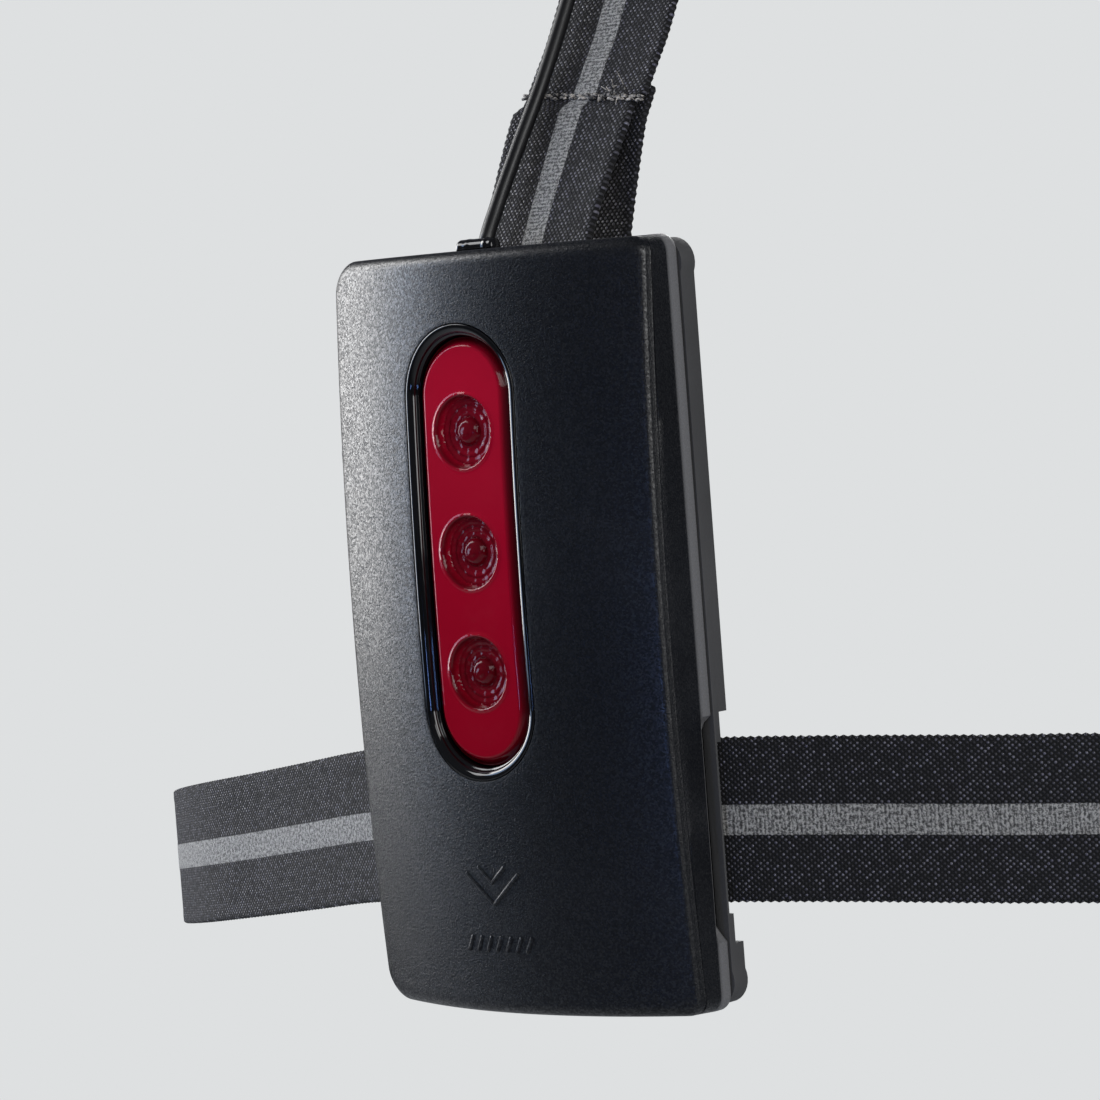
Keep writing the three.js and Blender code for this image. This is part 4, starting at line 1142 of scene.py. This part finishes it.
def sharpenCorners(piece):
    # The right-hand corners' round drawn out to the cover's own radius, each point along its own ray.
    old, new = unit["corner"], unit["rightCorner"]
    mesh = piece.data
    points = np.zeros(3 * len(mesh.vertices), np.float32)
    mesh.vertices.foreach_get("co", points)
    points = points.reshape(-1, 3).astype(float) / mm
    half = np.array([unit["halfWidth"], unit["halfHeight"] - 0.8])
    flat = points[:, [0, 2]]
    sign = np.sign(flat[:, 1])
    away = np.column_stack([flat[:, 0], np.abs(flat[:, 1])]) - (half - old)
    reach = np.linalg.norm(away, axis=1)
    inside = (away > 0).all(1) & (reach > 1e-6)
    way = away / np.maximum(reach, 1e-6)[:, None]
    grown = (old - new) * (way.sum(1) - 1)
    shift = way * (np.maximum(grown, 0) * smoothStep(reach, 1.5, 4.6))[:, None]
    shift[~inside] = 0
    points[:, 0] += shift[:, 0]
    points[:, 2] += shift[:, 1] * sign
    mesh.vertices.foreach_set("co", (points * mm).astype(np.float32).ravel())
    mesh.update()


def makeRearUnit():
    makeFrontCover()
    makeEmblem()
    makeLensBezel()
    makeTailLens()
    makeScrews()
    sharpenCorners(softened("rear_shell", shellMaterial, 0.45))
    softened("back_plate", shellMaterial, 0.5)
    softened("usb_cover", rubberMaterial, 0.35)


makeRearUnit()
print("rear unit made")


# Pads

def makePad(name, node, half, radius, flatY, proudY):
    # A foam pad under knit: rounded-rectangle rings drawn in towards the middle, which rise in a soft
    # crown, dip along a sewn line near the rim and dip again along three cross channels.
    look = {"seam": 0.80, "seamDepth": 0.22, "seamWidth": 0.035, "channelDepth": 0.2, "shoulder": 0.66}
    outline, normal = roundedOutline(half[0], half[1], radius, 0.9, 12)
    low, high = nodeBox(node)
    middle = (low + high) / 2
    way = 1 if proudY > flatY else -1
    thick = abs(proudY - flatY)
    rings = []
    rings.append(ringAt(outline * 0.01, flatY))
    for inset, rise in ((2.0, 0.0), (0.9, 0.02), (0.3, 0.12), (0.0, 0.32), (0.1, 0.5),
                        (0.45, look["shoulder"])):
        rings.append(ringAt(outline - normal * inset, flatY + way * thick * rise))
    inner = outline - normal * 0.45
    for s in np.linspace(1, 0.0, 34)[1:]:
        flat = inner * max(s, 0.004)
        crown = look["shoulder"] + (1 - look["shoulder"]) * (1 - s**2.6)
        seam = look["seamDepth"] * np.exp(-(((s - look["seam"]) / look["seamWidth"]) ** 2))
        channels = sum(np.exp(-(((flat[:, 1] - c) / 1.1) ** 2)) for c in (-0.42 * half[1], 0, 0.42 * half[1]))
        reach = 1 - smoothStep(np.abs(flat[:, 0]), half[0] * 0.55, half[0] * 0.68)
        dip = look["channelDepth"] * channels * reach * smoothStep(look["seam"] - s, 0.0, 0.08)
        rings.append(ringAt(flat, flatY + way * (thick * (crown - seam - dip))))
    grid = np.array(rings)
    grid[..., 0] += middle[0]
    grid[..., 2] += middle[2]
    faces = gridFaces(len(grid), len(outline), closeColumns=True)
    piece = makePiece(name, grid, faces, knitMaterial, (node,), sharp=60)


makePad("rear_pad_knit", "back_pad", (24, 45), 9, -3.9, 0.0)
makePad("chest_pad_knit", "lamp_pad", (21, 22), 8, 232.0, 228.2)
print("pads made")


# Yoke, keepers, sliders and buckle

def makeHarnessHardware():
    softened("yoke_outer", rubberMaterial, 0.4)
    softened("yoke_inner", knitMaterial, 0.5)
    for name in ("keeper_lower", "keeper_upper", "slider_left", "slider_right"):
        softened(name, acetalMaterial, 0.45)
    for name in ("buckle_socket", "buckle_plug"):
        softened(name, acetalMaterial, 0.8, 4)
    for name in ("buckle_latch_upper", "buckle_latch_lower"):
        softened(name, acetalMaterial, 0.45)


def yokePoint(x, y, z):
    # From the yoke's own leaning axes to the part's.
    base = rearStrapPoint(132)
    c, s = math.cos(strapTilt), math.sin(strapTilt)
    return [x, base[0] + c * y + s * z, base[1] - s * y + c * z]


def makeYokeSeam():
    # Stitches on a line just inside the yoke's outline, on its outer face.
    t = np.linspace(0, 1, 30)[:, None]

    def bend(a, b, c):
        a, b, c = (np.array(p, float) for p in (a, b, c))
        return (1 - t) ** 2 * a + 2 * t * (1 - t) * b + t**2 * c

    right = np.vstack([bend((12.3, -13.3), (15.2, 4), (27.3, 14)),
                       bend((27.3, 14), (27.8, 16.8), (24.6, 17.2))])
    top = bend((24.6, 17.2), (0, 10.2), (-24.6, 17.2))
    left = (right * [-1, 1])[::-1]
    flat = np.vstack([right, top, left, [[-12.3, -13.3], [12.3, -13.3]]])
    line = np.array([yokePoint(x, -2.42, z) for x, z in flat])
    outward = np.broadcast_to([0, -math.cos(strapTilt), math.sin(strapTilt)], line.shape)
    makeStitches("yoke_seam", line, outward, "root", 1.7, 2.5, 0.2, 9)


makeHarnessHardware()
makeYokeSeam()
print("harness hardware made")


# Chest lamp

lamp = {"middle": -62.0, "mouth": 12.6, "floor": 3.6, "facet": 0.24, "fins": 7, "finDepth": 3.6}


def ringStack(profile, halfWidth, halfHeight, radius, middleZ, closeRows, spacing=1.0, arcSteps=12):
    # Rounded-rectangle rings, one for each inset and Y of the profile; insets past the corner's
    # radius scale the outline towards its middle instead.
    outline, normal = roundedOutline(halfWidth, halfHeight, radius, spacing, arcSteps)
    rings = []
    for inset, y in profile:
        small = min(inset, radius * 0.9)
        flat = outline - normal * small
        flat = flat * max(1 - (inset - small) / (halfHeight - small), 0.003)
        rings.append(ringAt(flat, y, middleZ))
    grid = np.array(rings)
    return grid, gridFaces(*grid.shape[:2], closeRows=closeRows, closeColumns=True)


def makeLampLens():
    # A clear window that crowns towards its middle, flat behind.
    low, high = nodeBox("lamp_lens")
    front = [(0.0, low[1] + 0.1), (0.0, high[1] - 0.7), (0.15, high[1] - 0.35), (0.5, high[1] - 0.12)]
    crown = [(inset, high[1] - 0.12 + 0.9 * (1 - (1 - inset / 14.2) ** 2))
             for inset in np.linspace(1, 14.1, 14)]
    back = [(14.1, low[1]), (0.4, low[1])]
    grid, faces = ringStack(front + crown + back, 20.2, 14.2, 7.7, lamp["middle"], True)
    makePiece("lamp_window", grid, faces, clearMaterial, ("lamp_lens",), sharp=40)


def makeLampReflector():
    # A mirror bowl: on polar rings its depth follows a parabola, broken into facets round and down,
    # and past the bowl's mouth a flat flange runs out to a rounded rectangle.
    low, high = nodeBox("lamp_reflector")
    outline, _ = roundedOutline(20.3, 14.3, 7.8, 1.0, 16)
    bearing = np.arctan2(outline[:, 1], outline[:, 0])
    way = np.column_stack([np.cos(bearing), np.sin(bearing)])
    mouth, floor = lamp["mouth"], lamp["floor"]
    rings = [(outline * 0.98, low[1]), (outline, low[1] + 0.3), (outline, high[1] - 0.3),
             (outline * 0.985, high[1]), (way * (mouth + 0.5), high[1])]
    for t in np.linspace(1, 0, 22):
        facet = lamp["facet"] * np.abs(np.sin(9 * bearing)) * math.sin(math.pi * min(4 * t % 1 + 0.1, 1))
        y = high[1] - 0.2 - (high[1] - low[1] - 1.2) * (1 - t**1.8) - facet * min(t * 3, 1)
        rings.append((way * (floor + (mouth - floor) * t), y))
    rings.append((way * (floor - 0.3), low[1] + 0.2))
    grid = np.array([ringAt(flat, y, lamp["middle"]) for flat, y in rings])
    faces = gridFaces(*grid.shape[:2], closeRows=True, closeColumns=True)
    makePiece("faceted_bowl", grid, faces, mirrorMaterial, ("lamp_reflector",), sharp=20)


def makeLampLed():
    # A square chip with a domed lens on it.
    low, high = nodeBox("lamp_led")
    base = [(2.4, low[1]), (0.1, low[1]), (0.0, low[1] + 0.1), (0.0, low[1] + 0.5), (0.15, low[1] + 0.62)]
    dome = [(0.3 + 2.1 * (1 - math.cos(a)), low[1] + 0.62 + (high[1] - low[1] - 0.62) * math.sin(a))
            for a in np.linspace(0, math.pi / 2, 12)]
    grid, faces = ringStack(base + dome, 2.5, 2.5, 0.9, lamp["middle"], False, 0.3, 8)
    makePiece("lamp_chip", grid, faces, ledMaterial, ("lamp_led",), sharp=40)


def makeHeatSink():
    # A plate with seven fins: the height across it is a row of rounded blocks.
    low, high = nodeBox("lamp_heat_sink")
    t = np.linspace(0, 1, 141)
    fin = smoothStep(np.cos(2 * math.pi * lamp["fins"] * t), -0.25, 0.25)
    depth = low[1] + lamp["finDepth"] * (1 - fin) * (t > 0.05) * (t < 0.95)
    x = low[0] + (high[0] - low[0]) * t
    loop = np.vstack([np.column_stack([x, depth]), np.column_stack([x[::-1], np.full(len(x), high[1])])])
    heights = np.array([low[2] + 0.2, low[2] + 0.5, high[2] - 0.5, high[2] - 0.2])
    grid = np.stack([np.column_stack([loop, np.full(len(loop), h)]) for h in heights])
    rows, columns = grid.shape[:2]
    faces = gridFaces(rows, columns, closeColumns=True)
    for start in (0, (rows - 1) * columns):
        faces += capFaces(start, columns, len(t) - 1)
    makePiece("finned_sink", grid, faces, steelMaterial, ("lamp_heat_sink",), merge=False)


def makeChestLamp():
    softened("lamp_base", shellMaterial, 0.5)
    softened("lamp_body", casingMaterial, 0.7, 4)
    softened("lamp_bezel", glossMaterial, 0.8, 4)
    softened("hinge_pin", steelMaterial, 0.25)
    softened("power_button", rubberMaterial, 0.35)
    makeLampLens()
    makeLampReflector()
    makeLampLed()
    makeHeatSink()


makeChestLamp()
print("chest lamp made")


# Pieces inside, which keep their own solids

def finishInnerNodes():
    finishes = {
        "lens_gasket": rubberMaterial, "reflector_tray": redMaterial, "led_board": boardMaterial,
        "tail_led_1": ledMaterial, "tail_led_2": ledMaterial, "tail_led_3": ledMaterial,
        "battery_cell": wrapMaterial, "charge_board": boardMaterial, "usb_socket": steelMaterial,
    }
    for node, material in finishes.items():
        slots = frame["nodes"][node].data.materials
        slots.clear()
        slots.append(material)


finishInnerNodes()


# Floor and light

paleGrey = (0.7305, 0.7454, 0.7529, 1)


def cameraMix(tree, lit, seen, output):
    # One shader for the camera to see, and another for the light that falls on the part.
    rays, mix = tree.nodes.new("ShaderNodeLightPath"), tree.nodes.new("ShaderNodeMixShader")
    tree.links.new(rays.outputs["Is Camera Ray"], mix.inputs[0])
    tree.links.new(lit.outputs[0], mix.inputs[1])
    tree.links.new(seen.outputs[0], mix.inputs[2])
    tree.links.new(mix.outputs[0], tree.nodes.new(output).inputs[0])


def makeStage():
    # A wide pale floor and the same pale colour all round; only lights and a dim sky shine on the part.
    scene = bpy.context.scene
    scene.view_settings.view_transform = "Standard"
    scene.view_settings.look = "None"
    world = bpy.data.worlds.new("studio")
    scene.world = world
    world.use_nodes = True
    tree = world.node_tree
    tree.nodes.clear()
    seen, shine = tree.nodes.new("ShaderNodeBackground"), tree.nodes.new("ShaderNodeBackground")
    seen.inputs["Color"].default_value = paleGrey
    shine.inputs["Color"].default_value = (0.80, 0.85, 1.0, 1)
    shine.inputs["Strength"].default_value = 0.10
    cameraMix(tree, shine, seen, "ShaderNodeOutputWorld")
    material = bpy.data.materials.new("paleFloor")
    material.use_nodes = True
    tree = material.node_tree
    tree.nodes.clear()
    glow, paint = tree.nodes.new("ShaderNodeEmission"), tree.nodes.new("ShaderNodeBsdfDiffuse")
    glow.inputs["Color"].default_value = paleGrey
    paint.inputs["Color"].default_value = (0.35, 0.36, 0.37, 1)
    cameraMix(tree, paint, glow, "ShaderNodeOutputMaterial")
    reach, height = 30.0, -0.4
    mesh = bpy.data.meshes.new("floor")
    mesh.from_pydata([(x * reach, y * reach, height) for x, y in ((-1, -1), (1, -1), (1, 1), (-1, 1))],
                     [], [[0, 1, 2, 3]])
    mesh.materials.append(material)
    floor = bpy.data.objects.new("floor", mesh)
    scene.collection.objects.link(floor)


lights = {  # place in metres, width and height, power, colour; every light faces the origin
    "key": ((-0.98, -0.14, 0.3), (0.44, 0.8), 9, (1.0, 0.99, 0.98)),
    "fill": ((-0.88, -0.5, 0.22), (0.25, 0.7), 2.2, (0.5, 0.68, 1.0)),
    "high": ((-0.7, -0.46, 0.72), (0.4, 0.4), 2.5, (0.98, 0.98, 1.0)),
    "side": ((1.0, -0.2, 0.35), (0.5, 0.8), 5.5, (1.0, 1.0, 1.0)),
    "front": ((0.85, -0.85, 0.6), (0.5, 0.5), 2.0, (1.0, 1.0, 1.0)),
    "chest": ((-0.5, 1.5, 0.5), (0.7, 0.7), 9, (1.0, 1.0, 1.0)),
    "accent": ((0.3, -1.0, -0.12), (0.04, 0.08), 0.45, (0.2, 0.38, 1.0)),
}


def makeLight(name, place, size, power, colour):
    data = bpy.data.lights.new(name, "AREA")
    data.shape = "RECTANGLE"
    data.size, data.size_y = size
    data.energy = power
    data.color = colour
    light = bpy.data.objects.new(name, data)
    away = unitVectors(np.array(place, float))
    side = unitVectors(np.cross([0, 0, 1], away))
    top = np.cross(away, side)
    axes = np.column_stack([side, top, away, place])
    light.matrix_world = Matrix([*axes.tolist(), [0, 0, 0, 1]])
    bpy.context.scene.collection.objects.link(light)


makeStage()
for lightName, settings in lights.items():
    makeLight(lightName, *settings)
print("stage and lights made")
